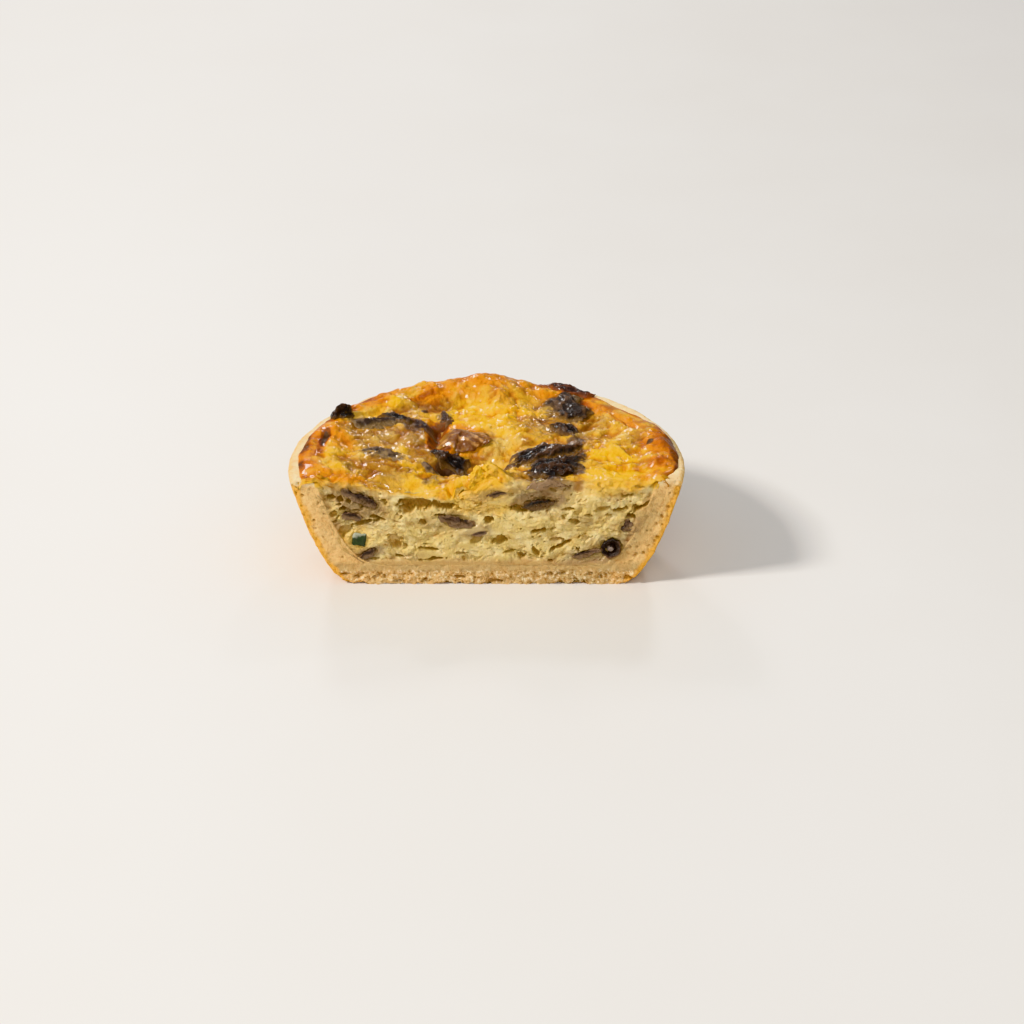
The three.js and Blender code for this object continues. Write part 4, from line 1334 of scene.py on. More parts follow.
    @staticmethod
    def cut(piece: Piece, x: Array, z: Array, gaping: Array, fine: Array) -> None:
        """Masks of the cut face, with painted shade in pores and tears and painted highlights on raised
        relief.

        Args:
            piece: the piece.
            x: places along the cut.
            z: heights.
            gaping: how open the face is at each point.
            fine: fine relief at each point, deeper where it is more.
        """
        p = (x, np.full_like(x, 3.0), z)
        ragged = 0.6 * Grain.crags(p, 2.6, 221, 4, 0.66)
        hollow = FORM.hollow_radius(np.clip(z, FORM.floor, None))
        wall = np.sqrt(np.clip(hollow**2 - FORM.cut_y**2, 1, None))
        near = np.minimum(wall - np.abs(x), (z - FORM.floor) * 1.2) + 2.0 * ragged
        Bench.mask(piece, "damp", eased(2.6, 0.4, near) * eased(28.4, 26.0, z))
        Bench.mask(piece, "mauve", 0.85 * Paint.field(Cut.mauve, x, z, ragged))
        Bench.mask(piece, "gold", 0.9 * Paint.field(Cut.gold, x, z, ragged))
        # How open the face is, which the finish darkens as painted shade in pores and tears
        Bench.mask(piece, "hollow", 0.8 * eased(0.3, 1.9, gaping))
        # Raised fine relief, which the finish paints paler as a painted highlight
        Bench.mask(piece, "raised", eased(0.0, -0.5, fine))


def filling_finish(name: str, wet: float) -> bpy.types.Material:
    """Finish of custard or cheese.

    Args:
        name: the material's name.
        wet: how oily the surface is, from 0 to 1.

    Returns:
        The material.
    """
    finish = FillingFinish(name, roughness=mixed(0.55, 0.46, wet), gloss=mixed(0.35, 0.2, wet),
                           oil=0.1 + 0.85 * wet, oil_roughness=mixed(0.2, 0.08, wet), depth=0.12,
                           depth_scale=0.9, depth_colour=(1.0, 0.6, 0.22), bump=0.7, patch=0.12,
                           speck=0.14, tint=paint(196, 138, 66))
    return finish.material()


class Custard:
    """Baked custard: a moist, torn face at the cut and a plain body behind it."""

    across: int = 500
    up: int = 142
    slab: float = 3.0
    lap: float = 0.4
    wet: float = 0.3
    core_heights: tuple = (FORM.floor, 6.5, 7.5, 9.6, 13.0, 18.0, 22.5)
    core_steps: int = 72

    def face(self) -> Piece:
        """Builds the shown face as a thin slab.

        Returns:
            The slab, with the masks of its finish.
        """
        piece = Bench.grid("custard_filling", self.across, self.up)
        at = Bench.points(piece)
        u, v = at[:, 0], (at[:, 1] + 1.0) / 2.0
        nominal = FORM.floor - self.lap + v * (FORM.rim_height - 1.0 - FORM.floor)
        wall = FORM.hollow_radius(np.clip(nominal, FORM.floor + 0.05, None)) + 0.5
        side = (np.sign(u) * 5, wall * 0, nominal)
        wall = wall + 1.1 * np.clip(0.3 + Grain.crags(side, 2.6, 91, 4, 0.66), 0, 1)
        reach = np.sqrt(wall**2 - FORM.cut_y**2)
        x = u * reach
        top = FORM.open_surface(x, np.full_like(x, FORM.cut_y)) - Cheese.skirt_at(x) + 0.35
        z = FORM.floor - self.lap + v * (top - FORM.floor + self.lap)
        depth, gaping, fine = Surface.relief(x, z)
        inside = eased(0.3, 2.2, np.minimum(reach - np.abs(x), z - FORM.floor + self.lap))
        depth, gaping = depth * inside, gaping * inside
        tuck = 0.5 * eased(0.35, 0.0, top - z)
        y = FORM.cut_y + depth + tuck
        Bench.move(piece, np.stack([x, y, z], axis=1))
        Paint.cut(piece, x, z, gaping, fine)
        # Fine creases of the cut, darkened as painted shade
        Bench.mask(piece, "crease", 0.8 * eased(0.0, 0.55, fine))

        Bench.take(piece)
        with Bench.editing():
            bpy.ops.mesh.region_to_loop()
            bpy.ops.mesh.extrude_region_move(TRANSFORM_OT_translate={"value": (0, self.slab * MM, 0)})
            bpy.ops.transform.resize(value=(1, 0, 1), center_override=(0, (FORM.cut_y + self.slab) * MM, 0))
            bpy.ops.mesh.edge_face_add()
            bpy.ops.mesh.select_all(action="SELECT")
            bpy.ops.mesh.normals_make_consistent(inside=False)
        return piece

    def core(self) -> Piece:
        """Builds the plain body that fills the case behind the face."""
        wall = [(float(FORM.hollow_radius(z)), z) for z in self.core_heights]
        profile = [(0.0, self.core_heights[0]), *wall, (0.0, self.core_heights[-1])]
        piece = Bench.turned("custard_core", profile, self.core_steps)
        Bench.slice_off(piece, FORM.cut_y + self.slab - 0.5)
        return piece

    def build(self) -> Piece:
        """Builds the custard.

        Returns:
            The finished piece.
        """
        piece = Bench.join("custard_filling", [self.face(), self.core()])
        Bench.settle(piece)
        piece.data.materials.clear()
        piece.data.materials.append(filling_finish("custard", self.wet))
        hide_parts("custard")
        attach(piece, "root")
        return piece


class Cheese:
    """Melted cheese: a fine sheet over the filling that folds down over the edge of the cut."""

    cell: float = 0.27
    fold: float = 0.55
    skirt: float = 3.0
    width: float = 104.0
    thickness: float = 1.3
    wet: float = 1.0
    hidden_share: float = 0.55
    border_limit: float = 51.4
    trim_past: float = 1.9
    trim_limit: float = 52.0
    rim_foot: float = 43.2
    rim_top: float = 46.5
    skirt_ends: tuple = (41.6, 45.0)
    skirt_end: float = 0.7
    short: Blot = Blot(-16.6, 0, 7, 1)
    broken: Blot = Blot(-1.5, 31, 7.5, 4)

    @staticmethod
    def skirt_at(x: Array) -> Array:
        """How far the sheet hangs down the cut at a place."""
        shorter = Cheese.short.bell(x, np.zeros_like(x))
        length = mixed(Cheese.skirt, Cheese.skirt_end, eased(*Cheese.skirt_ends, np.abs(x)))
        return length * (1.0 - 0.45 * shorter)

    @staticmethod
    def surface(x: Array, y: Array) -> Array:
        """Height of the sheet, which thins to its border on the rim.

        Args:
            x: places along the cut.
            y: places back from it.

        Returns:
            Heights; past the border they lie under the rim.
        """
        p = (x, y, np.zeros_like(x))
        reach = FORM.cheese_reach(x, y) + 0.9 * Grain.crags(p, 6.0, 301, 3)
        reach = np.minimum(reach, Cheese.border_limit)
        radius = np.hypot(x, y)
        border = np.clip((radius - reach + 4.0) / 4.0, 0.0, 1.3)
        thick = np.sqrt(np.clip(1.0 - border**2.4, 0.0, 1.0))
        rim = FORM.rim_crown(x, y) - 0.1
        full = Surface.height(x, y)
        on_rim = eased(Cheese.rim_foot, Cheese.rim_top, radius)
        full = mixed(full, np.maximum(full, rim + 0.9), on_rim)
        past = eased(reach - 0.2, reach + 0.8, radius)
        return mixed(full, rim + (full - rim) * thick - 1.2 * past, on_rim)

    def sheet(self) -> Piece:
        """Builds the sheet with its fold and its masks.

        Returns:
            The sheet, open underneath.
        """
        arc = self.fold * math.pi / 2
        depth = self.skirt + arc + FORM.rim_radius - FORM.cut_y
        across, back = round(self.width / self.cell), round(depth / self.cell)
        piece = Bench.grid("melted_cheese", across, back)
        at = Bench.points(piece)
        x = at[:, 0] * self.width / 2
        w = (at[:, 1] + 1.0) / 2.0 * depth - self.skirt - arc

        hem = np.clip(-w - arc, 0.0, None) / self.skirt
        angle = np.clip(w + arc, 0.0, arc) / self.fold
        y = FORM.cut_y + self.fold * (1 - np.cos(angle)) + np.clip(w, 0.0, None)
        crest = self.surface(x, np.full_like(x, FORM.cut_y + self.fold))
        on_top = self.surface(x, np.maximum(y, FORM.cut_y + self.fold))
        z = np.where(w > 0, on_top, crest - self.fold * (1 - np.sin(angle)) - hem * Cheese.skirt_at(x))
        facing = np.cos(angle)
        relief, gaping, fine = Surface.relief(x, z)
        lower = eased(0.1 - arc, -0.8 - arc, w)
        relief = relief - gaping * (1.0 - lower) - 0.25 * eased(44.4, 46.0, np.abs(x))
        gaping = gaping * lower
        tuck = 0.5 * eased(0.9, 1.0, hem)
        _, label, _ = Grain.spots(Grain.warped((x, 0 * x, z), 1.6, 0.5, 313), 1.7, 315)
        relief = relief + 1.5 * (label - 0.5) * self.broken.bell(x, z)
        y = y + facing * relief + np.where(w < -arc, tuck, 0.0)
        crumb = 0.3 * Grain.crags((x, y, z), 1.6, 311, 3, 0.6) * eased(3.2, 0.4, np.abs(w + 0.5 * arc))
        z = z + crumb * (w > -arc)
        y = y + 0.6 * crumb * (w < 1.5)
        places = np.stack([x, y, z], axis=1)
        Bench.move(piece, places)

        Paint.top(piece, places, eased(-arc - 0.5, 0.8, w + 0.6 * Grain.crags((x, y, z), 1.4, 321, 3)))
        Paint.cut(piece, x, z, gaping * facing, fine)

        radius = np.hypot(x, y)
        reach = np.minimum(FORM.cheese_reach(x, y) + self.trim_past, self.trim_limit)
        outside = (radius > reach) & (y > FORM.cut_y + 0.4)
        outside |= (np.abs(x) > FORM.cheese_reach(x, np.full_like(x, FORM.cut_y)) - 0.2) & (w <= 0.4)
        self.trim(piece, outside)
        return piece

    @staticmethod
    def trim(piece: Piece, outside: Array) -> None:
        """Deletes the points that lie past the border."""
        Bench.take(piece)
        Bench.unselect()
        piece.data.polygons.foreach_set("select", np.zeros(len(piece.data.polygons), dtype=bool))
        piece.data.edges.foreach_set("select", np.zeros(len(piece.data.edges), dtype=bool))
        piece.data.vertices.foreach_set("select", outside)
        with Bench.editing(None):
            bpy.ops.mesh.select_mode(type="VERT")
            bpy.ops.mesh.delete(type="VERT")

    def build(self) -> Piece:
        """Builds the cheese.

        Returns:
            The finished piece.
        """
        piece = self.sheet()
        shown = len(piece.data.vertices)
        Bench.apply(piece, "SOLIDIFY", thickness=self.thickness * MM, offset=-1.0, use_rim=True)
        hidden = np.zeros(len(piece.data.vertices))
        hidden[shown:] = 1.0
        Bench.thin_hidden(piece, hidden, self.hidden_share)
        Bench.settle(piece)
        piece.data.materials.append(filling_finish("baked cheese", self.wet))
        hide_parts("cheese_top")
        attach(piece, "root")
        return piece


class Look(Enum):
    """Ways in which a slice of mushroom has cooked: dark colour, flesh, film of cheese on it, roughness."""

    BLACK = ((24, 18, 17), (88, 62, 46), (124, 90, 48), 0.2)
    WET = ((30, 22, 20), (108, 78, 58), (150, 110, 60), 0.2)
    GREY = ((60, 46, 38), (128, 104, 82), (146, 118, 78), 0.44)
    CARAMEL = ((124, 72, 28), (216, 162, 98), (190, 138, 62), 0.24)
    PURPLE = ((56, 36, 30), (134, 100, 82), (124, 88, 54), 0.34)
    RED = ((46, 24, 20), (112, 64, 44), (148, 80, 38), 0.3)
    CORE = ((38, 27, 24), (172, 154, 142), (134, 102, 78), 0.3)
    MAUVE = ((54, 40, 36), (126, 98, 80), (162, 130, 96), 0.4)
    SLATE = ((42, 29, 22), (118, 88, 64), (150, 112, 60), 0.42)

    def material(self) -> bpy.types.Material:
        """Finish of this look, built once."""
        name = f"mushroom {self.name.lower()}"
        known = bpy.data.materials.get(name)
        if known:
            return known
        dark, flesh, film, roughness = self.value
        finish = MushroomFinish(name, roughness=roughness + 0.14, gloss=0.35, oil=1.1 - 1.8 * roughness,
                                oil_roughness=0.08, depth=0.06, depth_scale=0.6,
                                depth_colour=(1.0, 0.45, 0.25), bump=0.7, patch=0.2,
                                speck=0.3, tint=paint(70, 50, 40), dark=paint(*dark), flesh=paint(*flesh),
                                film=paint(*film))
        return finish.material()


@dataclass
class Slice:
    """Slice of mushroom: a crumpled, lobed flap bedded in the cheese or met by the knife.

    Args:
        node: the part's node that it replaces.
        at: middle and its lift over the cheese, or middle on the cut.
        size: length, width and thickness.
        turn: turns about Z, Y and X in degrees.
        curl: how far the ends rise.
        look: how it has cooked.
        crumple: depth of its wrinkles in millimetres.
        fineness: how often its ball is subdivided.
        sink: how far its border dips into what it lies in.
        spread: how much wider its hidden border is than what shows.
        bare: how much less of it the cheese has run over, in millimetres of height.
        seed: number that picks its wrinkles.
    """

    node: str
    at: tuple
    size: tuple
    turn: tuple
    curl: float
    look: Look = Look.BLACK
    crumple: float = 0.7
    fineness: int = 6
    sink: float = 1.5
    spread: float = 1.18
    bare: float = 0.0
    seed: int = 0

    def ball(self) -> Piece:
        """Fine round start of the slice."""
        Bench.rest()
        bpy.ops.mesh.primitive_ico_sphere_add(subdivisions=self.fineness, radius=MM)
        return Bench.named(self.node.replace("mushroom", "slice"))

    def flap(self, piece: Piece) -> Array:
        """Shapes the ball into a crumpled flap about the origin.

        Args:
            piece: the ball.

        Returns:
            Places of the flap's points.
        """
        x, y, z = Bench.points(piece).T
        length, width, thick = self.size
        flat = np.hypot(x, y)
        around = np.maximum(flat, 1e-6)
        ring = (2.2 * x / around + 40 * self.seed, 2.2 * y / around, np.zeros_like(x))
        lobe = 1.06 + 0.34 * Grain.crags(ring, 1.7, 441, 3, 0.6)
        lobe = lobe * self.spread
        px, py = x * lobe * length / 2, y * lobe * width / 2
        frayed = (px + 23 * self.seed, py, np.zeros_like(x))
        px = px + 0.16 * width * Grain.crags(frayed, 2.6, 443, 3, 0.6) * flat
        py = py + 0.16 * width * Grain.crags(frayed, 2.2, 445, 3, 0.6) * flat
        crown = np.clip(1.0 - flat**2.6, 0.0, 1.0) ** 0.8
        pz = np.sign(z) * crown * thick / 2 - self.sink * flat**3
        lengthways = (px * 0.33 + 31 * self.seed, py * 1.2, 0.2 * pz)
        folds = Grain.ridges(Grain.warped(lengthways, 3.0, 1.0, 451), 2.3, 401 + self.seed, 2) - 0.6
        lumps = Grain.crags((px + 31 * self.seed, py, 0.3 * pz), 2.2, 411 + self.seed, 4, 0.62)
        pz = pz + self.crumple * (1.5 * folds + 0.7 * lumps)
        pz = pz + 2 * self.curl * (px / length) ** 2
        wobble = (px + 31 * self.seed, py, pz)
        py = py + 0.5 * self.crumple * Grain.crags(wobble, 2.4, 421 + self.seed, 3, 0.6)
        px = px + 0.5 * self.crumple * Grain.crags(wobble, 2.4, 427 + self.seed, 3, 0.6)
        Bench.mask(piece, "crest", np.clip(0.45 + 1.6 * folds + 0.5 * lumps, 0, 1))
        return np.stack([px, py, pz], axis=1)

    def turned(self, places: Array) -> Array:
        """Turns places about X, then Y, then Z, as the part's source does."""
        about_z, about_y, about_x = (math.radians(a) for a in self.turn)
        x, y, z = places.T
        y, z = y * math.cos(about_x) - z * math.sin(about_x), y * math.sin(about_x) + z * math.cos(about_x)
        x, z = x * math.cos(about_y) - z * math.sin(about_y), x * math.sin(about_y) + z * math.cos(about_y)
        x, y = x * math.cos(about_z) - y * math.sin(about_z), x * math.sin(about_z) + y * math.cos(about_z)
        return np.stack([x, y, z], axis=1)

    def laid(self, places: Array) -> Array:
        """Lays the flap on the cheese and bends it to the surface."""
        x = places[:, 0] + self.at[0]
        y = places[:, 1] + self.at[1]
        ground = Surface.ground(x, y)
        return np.stack([x, y, places[:, 2] + self.at[2] + ground], axis=1)

    def filmed(self, places: Array, edge: Array) -> Array:
        """How far cheese has run over each point.

        Args:
            places: the points' places.
            edge: how far out each point lies on the slice, 1 at its border.

        Returns:
            Shares from 0 to 1.
        """
        x, y, z = places.T
        over = z - Surface.height(x, y) + 0.8 * Grain.crags((x, y, z), 2.0, 461, 4, 0.62) + self.bare
        low = eased(0.5, 0.0, over)
        return 0.95 * np.maximum(low, eased(1.4, 0.3, over) * eased(0.35, 0.8, edge))

    def build(self) -> Piece:
        """Builds the slice.

        Returns:
            The finished piece.
        """
        piece = self.ball()
        edge = np.hypot(*Bench.points(piece).T[:2])
        places = self.laid(self.turned(self.flap(piece)))
        Bench.mask(piece, "film", self.filmed(places, edge))
        y = places[:, 1]
        places[:, 1] = np.where(y < FORM.cut_y, FORM.cut_y + 0.06 * (y - FORM.cut_y), y)
        Bench.move(piece, places)
        Bench.settle(piece)
        piece.data.materials.append(self.look.material())
        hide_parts(self.node)
        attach(piece, "root")
        return piece


@dataclass
class CutSlice(Slice):
    """Slice that the knife met: it stands across the cut, and its section shows in the face.

    Args:
        proud: how far its section stands out of the face.
    """

    proud: float = -0.05
    sink: float = 0.0
    spread: float = 1.0

    def filmed(self, places: Array, edge: Array) -> Array:
        """How pale each point of the section is: its upper edge stays dark, its border fades out."""
        x, _, z = places.T
        turn = math.radians(self.turn[1])
        up = (z - self.at[1]) * math.cos(turn) - (x - self.at[0]) * math.sin(turn)
        along = (z - self.at[1]) * math.sin(turn) + (x - self.at[0]) * math.cos(turn)
        up, along = 2 * up / self.size[2], 2 * along / self.size[0]
        uneven = Grain.crags((x, np.zeros_like(x), z), 1.6, 463 + self.seed, 4, 0.62)
        pale = 0.7 * eased(0.45, -0.35, up + 0.5 * uneven)
        return np.maximum(pale, 0.9 * eased(0.7, 1.15, np.hypot(along, up) + 0.4 * uneven))

    def laid(self, places: Array) -> Array:
        """Stands the flap in the cut, its front flattened to the face's relief."""
        p = (places[:, 0] + 13 * self.seed, 0.3 * places[:, 1], places[:, 2])
        x = places[:, 0] + self.at[0] + 1.1 * Grain.crags(p, 2.4, 433, 4, 0.66)
        z = places[:, 2] + self.at[1] + 1.1 * Grain.crags(p, 2.4, 437, 4, 0.66)
        y = places[:, 1] + FORM.cut_y + 0.25 * self.size[1]
        face = FORM.cut_y + FORM.cut_relief * waves(x, z, 11, 1.3) - self.proud
        face = face + 0.3 * Grain.crags((x, y, z), 1.1, 431 + self.seed, 3)
        return np.stack([x, np.maximum(y, face), z], axis=1)


TOP_SLICES = (
    Slice("mushroom_top_rim_knob", (-39.5, 27, 0.9), (6.4, 5.2, 4), (40, 0, 0), 0.3,
          Look.BLACK, 1.7, sink=0.8, spread=1.05, bare=0.4, seed=1),
    Slice("mushroom_top_left_slab", (-32, 23.6, -0.2), (13, 7.4, 2.4), (4, 6, -12), 1,
          Look.GREY, 0.8, seed=2),
    Slice("mushroom_top_left_strip", (-24.6, 26.2, 0.2), (9, 3.8, 2.2), (-28, 0, -10), 0.8,
          Look.BLACK, 1, seed=3),
    Slice("mushroom_top_left_ridge", (-17.6, 22, -0.3), (9.6, 4.8, 2.2), (-38, 0, 0), 0.8,
          Look.PURPLE, 0.8, seed=4),
    Slice("mushroom_top_back_fold", (-11.4, 27.2, -0.4), (8.6, 5.4, 2.4), (96, 0, 14), 0.8,
          Look.PURPLE, 0.9, seed=5),
    Slice("mushroom_top_caramel_slice", (-7.2, 17.4, 0.2), (14, 9.4, 1.5), (-34, 8, -16), 1.4,
          Look.CARAMEL, 0.45, bare=0.2, seed=6),
    Slice("mushroom_top_black_curl", (-8.6, 6.6, 0.6), (9.4, 5.2, 2.2), (-12, -12, 10), 1.2,
          Look.BLACK, 1.1, seed=7),
    Slice("mushroom_top_middle_crumb", (-15.2, 1.2, 0.1), (5.8, 3.6, 2), (-42, 0, 0), 0.3,
          Look.GREY, 0.8, seed=8),
    Slice("mushroom_top_front_strip", (-27.4, 6.8, -0.7), (15.5, 5.6, 2.2), (-13, 0, -6), 0.8,
          Look.GREY, 1, seed=9),
    Slice("mushroom_top_rim_slab", (22.4, 43.2, 0.2), (15.4, 5.2, 2.2), (-24, 0, 8), 0.6,
          Look.RED, 0.9, seed=10),
    Slice("mushroom_top_grey_cap", (21.8, 34, 0.3), (14.6, 10.8, 2), (-66, 4, 4), 1,
          Look.SLATE, 0.4, bare=0.15, seed=11),
    Slice("mushroom_top_wet_strip", (20.8, 20.2, 0.3), (9, 4.6, 2.4), (-38, 0, 0), 0.5,
          Look.BLACK, 0.9, seed=12),
    Slice("mushroom_top_dark_crest", (15.2, 6, 0.3), (19.6, 8.4, 2.4), (33, 0, -8), 0.7,
          Look.WET, 1.1, bare=0.45, seed=13),
    Slice("mushroom_top_dark_fold", (18, -2, 0.3), (14, 9.4, 2.4), (20, 0, -14), 0.7,
          Look.BLACK, 1.1, bare=0.5, seed=14),
    Slice("mushroom_top_cut_edge", (16.4, -8.8, -1), (10.5, 5, 2.6), (14, 0, -20), 0.4,
          Look.MAUVE, 0.9, seed=15),
)

CUT_SLICES = (
    CutSlice("mushroom_cut_left_long", (-33.2, 25.2), (11.6, 9, 3.2), (0, -28, 0), 0.8,
             Look.MAUVE, 0.5, seed=21),
    CutSlice("mushroom_cut_left_pale", (-36, 20.2), (6, 6, 2.4), (0, -18, 0), 0.4,
             Look.MAUVE, 0.4, fineness=5, seed=22),
    CutSlice("mushroom_cut_left_low", (-31.6, 8.8), (6, 6, 2.4), (0, 34, 0), 0.3,
             Look.MAUVE, 0.4, fineness=5, seed=23),
    CutSlice("mushroom_cut_middle", (-8, 18.6), (8.8, 8, 3), (0, -14, 0), 0.6, Look.MAUVE, 0.5, seed=24),
    CutSlice("mushroom_cut_middle_crumb", (-2, 14.9), (4.4, 5, 1.7), (0, 16, 0), 0.2,
             Look.MAUVE, 0.3, fineness=5, seed=25),
    CutSlice("mushroom_cut_upper_sliver", (2.6, 26.6), (5.4, 5, 1.8), (0, 12, 0), 0.3,
             Look.MAUVE, 0.3, fineness=5, seed=26),
    CutSlice("mushroom_cut_dark_wedge", (14.2, 23.8), (9.2, 8, 3), (0, 10, 0), 0.6,
             Look.BLACK, 0.6, seed=27),
    CutSlice("mushroom_cut_right_bean", (37.4, 17.4), (4.4, 5, 3), (0, 48, 0), 0.3,
             Look.MAUVE, 0.3, fineness=5, seed=28),
    CutSlice("mushroom_cut_right_shadow", (26.6, 9), (8, 6, 1.8), (0, 12, 0), 0.4,
             Look.MAUVE, 0.4, fineness=5, seed=29),
)


@dataclass
class Stalk:
    """Round stalk met end on: a dark ring with a glossy, pale core in it, set off to the lower left as a
    painted highlight.
    """

    x: float = 33.2
    z: float = 10.8
    radius: float = 2.7
    depth: float = 7.0
    proud: float = 0.3
    bed: float = 2.5
    sides: int = 64
    cell: float = 0.12
    insets: tuple = ((0.35, 0.25), (0.9, -0.7), (0.2, -0.9), (0.35, 0.9), (0.4, 0.3))
    core_highlight_off: tuple = (0.3, 0.2)

    def build(self) -> Piece:
        """Builds the ring and its core.

        Returns:
            The finished piece.
        """
        Bench.rest()
        bpy.ops.mesh.primitive_cylinder_add(
            vertices=self.sides, radius=self.radius * MM, depth=self.depth * MM,
            location=(self.x * MM, (FORM.cut_y + self.depth / 2 - self.proud) * MM, self.z * MM),
            rotation=(math.pi / 2, 0, 0),
        )
        piece = bpy.context.object
        piece.name = "slice_cut_stalk"
        bpy.ops.object.transform_apply(location=True, rotation=True, scale=True)
        Bench.unselect()
        for face in piece.data.polygons:
            face.select = face.normal.y < -0.9
        with Bench.editing(None):
            for thickness, depth in self.insets:
                bpy.ops.mesh.inset(thickness=thickness * MM, depth=depth * MM)
        Bench.apply(piece, "REMESH", mode="VOXEL", voxel_size=self.cell * MM)
        at = Bench.points(piece)
        p = (at[:, 0], at[:, 1], at[:, 2])
        away = np.hypot(at[:, 0] - self.x, at[:, 2] - self.z)
        off = np.hypot(at[:, 0] - self.x + self.core_highlight_off[0], at[:, 2] - self.z + self.core_highlight_off[1])
        # Pale core of flesh, set off to the lower left, which also serves as a painted highlight
        core = eased(1.3, 0.5, off + 0.5 * Grain.crags(p, 0.9, 507, 3))
        bumps = 0.75 * Grain.crags(p, 1.9, 501, 4, 0.62)
        at[:, 0] += bumps
        at[:, 2] += 0.8 * bumps
        at[:, 1] += 0.2 * Grain.crags(p, 0.8, 505, 3)
        Bench.move(piece, at)
        brown = eased(2.0, 2.7, away) * eased(-0.6, 0.6, (at[:, 0] - self.x) / 2 - (at[:, 2] - self.z) / 2)
        Bench.mask(piece, "crest", 1.3 * core)
        Bench.mask(piece, "film", brown)
        Bench.settle(piece)
        piece.data.materials.append(Look.CORE.material())
        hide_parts("mushroom_cut_stalk")
        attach(piece, "root")
        return piece


@dataclass(frozen=True)
class CourgetteFinish(Finish):
    """Courgette: dark green skin, paler flesh on the lit top, lighter towards the upper left as a painted
    highlight.
    """

    skin: Colour = paint(44, 58, 34)
    flesh: Colour = paint(178, 178, 154)

    def colour(self, n: Nodes) -> Socket:
        """Colour between skin and flesh; the flesh colour on the upper left is also a painted highlight."""
        return n.blend(n.mask("crest"), self.skin, self.flesh)


@dataclass
class Courgette:
    """Cube of courgette in the custard, its green skin to the front."""

    x: float = -33.8
    z: float = 13.4
    side: float = 3.8
    tilt: float = 8.0
    bed: float = 2.2
    behind: float = 1.5
    rounding: float = 0.5
    cell: float = 0.12

    def build(self) -> Piece:
        """Builds the cube.

        Returns:
            The finished piece.
        """
        Bench.rest()
        bpy.ops.mesh.primitive_cube_add(
            size=self.side * MM, location=(self.x * MM, (FORM.cut_y + self.behind) * MM, self.z * MM),
            rotation=(0, math.radians(self.tilt), 0),
        )
        piece = bpy.context.object
        piece.name = "courgette_dice"
        bpy.ops.object.transform_apply(location=True, rotation=True, scale=True)
        with Bench.editing():
            bpy.ops.mesh.bevel(offset=self.rounding * MM, segments=3)
        Bench.apply(piece, "REMESH", mode="VOXEL", voxel_size=self.cell * MM)
        at = Bench.points(piece)
        p = (at[:, 0], at[:, 1], at[:, 2])
        at += 0.3 * np.stack([Grain.crags(p, 1.6, 601 + i, 4, 0.6) for i in range(3)], axis=1)
        Bench.move(piece, at)
        # Pale flesh on the top, reaching down the upper left: partly the cube's flesh, partly a painted
        # highlight
        flesh_and_glint = (at[:, 2] - self.z) - 0.4 * (at[:, 0] - self.x)
        Bench.mask(piece, "crest", eased(0.7, 1.6, flesh_and_glint + 0.7 * Grain.crags(p, 1.0, 611, 3)))
        Bench.settle(piece)
        finish = CourgetteFinish("courgette", roughness=0.35, gloss=0.5, oil=0.3, depth=0.1, depth_scale=0.8,
                                 depth_colour=(0.6, 1.0, 0.3), bump=0.2, patch=0.3, speck=0.3,
                                 tint=paint(60, 84, 36))
        piece.data.materials.append(finish.material())
        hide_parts("courgette_cube")
        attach(piece, "root")
        return piece


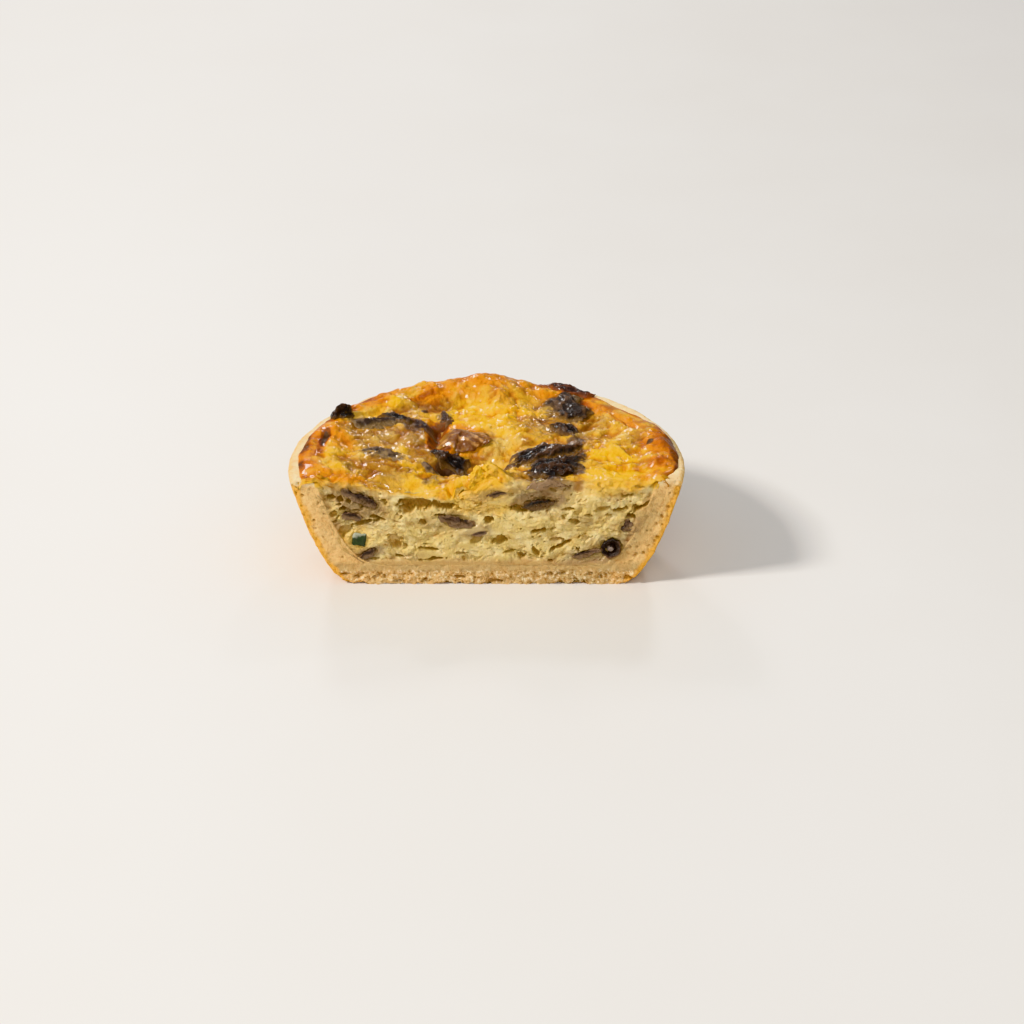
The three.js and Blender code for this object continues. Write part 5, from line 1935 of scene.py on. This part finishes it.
@dataclass
class Studio:
    """Pale floor, soft light and the camera at the photograph's angle."""

    lens: float = 105.47
    sensor: float = 36.0
    eye: tuple = (6.775, -717.467, 382.643)
    elevation: float = 27.06
    sky: float = 0.34
    sky_colour: tuple = (0.96, 0.98, 1.0, 1.0)
    floor_side: float = 6.0
    aim: float = 0.02
    lamps: tuple = (
        ("window", (-0.8, -0.26, 0.74), 0.2, 10.9, (1.0, 0.985, 0.96)),
        ("back window", (-0.24, 0.8, 0.46), 0.12, 1.5, (1.0, 1.0, 1.0)),
        ("far window", (0.24, 0.8, 0.62), 0.1, 1.0, (1.0, 1.0, 1.0)),
        ("fill", (0.15, -0.95, 0.75), 0.7, 4.2, (1.0, 0.99, 0.97)),
    )

    def floor(self) -> None:
        """Lays the pale floor."""
        Bench.rest()
        bpy.ops.mesh.primitive_plane_add(size=self.floor_side, location=(0, 0, 0))
        floor = bpy.context.object
        floor.name = "pale_floor"
        made = bpy.data.materials.new("pale floor")
        made.use_nodes = True
        shader = made.node_tree.nodes["Principled BSDF"]
        n = Nodes(made.node_tree)
        place = n.place()
        n.feed(shader.inputs["Base Color"],
               n.blend(n.noise(place, 60.0, 2.0), paint(228, 223, 217), paint(232, 228, 223)))
        shader.inputs["Roughness"].default_value = 0.5
        floor.data.materials.append(made)

    def lamp(self, name: str, place: tuple, size: float, power: float, colour: tuple) -> None:
        """Adds a soft square lamp that faces the quiche.

        Args:
            name: the lamp's name.
            place: where it hangs, in metres.
            size: its side in metres.
            power: its power in watts.
            colour: its colour.
        """
        Bench.rest()
        x, y, z = place
        spin = math.atan2(x, -y)
        lean = math.atan2(math.hypot(x, y), z - self.aim)
        bpy.ops.object.light_add(type="AREA", location=place, rotation=(lean, 0, spin))
        lamp = bpy.context.object
        lamp.name = name
        lamp.data.size = size
        lamp.data.energy = power
        lamp.data.color = colour

    def build(self) -> None:
        """Sets floor, lamps, sky and camera."""
        self.floor()
        for lamp in self.lamps:
            self.lamp(*lamp)
        world = bpy.data.worlds.new("soft sky")
        bpy.context.scene.world = world
        world.use_nodes = True
        background = world.node_tree.nodes["Background"]
        background.inputs["Color"].default_value = self.sky_colour
        background.inputs["Strength"].default_value = self.sky
        bpy.context.scene.view_settings.view_transform = "Khronos PBR Neutral"
        data = bpy.data.cameras.new("camera")
        data.lens = self.lens
        data.sensor_width = self.sensor
        data.clip_start = 0.01
        camera = bpy.data.objects.new("camera", data)
        camera.location = tuple(c * MM for c in self.eye)
        camera.rotation_euler = (math.radians(90 - self.elevation), 0, 0)
        bpy.context.scene.collection.objects.link(camera)
        bpy.context.scene.camera = camera


def main() -> None:
    """Builds the quiche piece by piece and sets it in the studio."""
    logging.basicConfig(level=logging.INFO, format="%(message)s")
    Studio().build()
    makers = [Pastry(), Custard(), Cheese(), *TOP_SLICES, *CUT_SLICES, Stalk(), Courgette()]
    for maker in makers:
        piece = maker.build()
        LOG.info("%s: %d points", piece.name, len(piece.data.vertices))


if __name__ == "__main__":
    main()
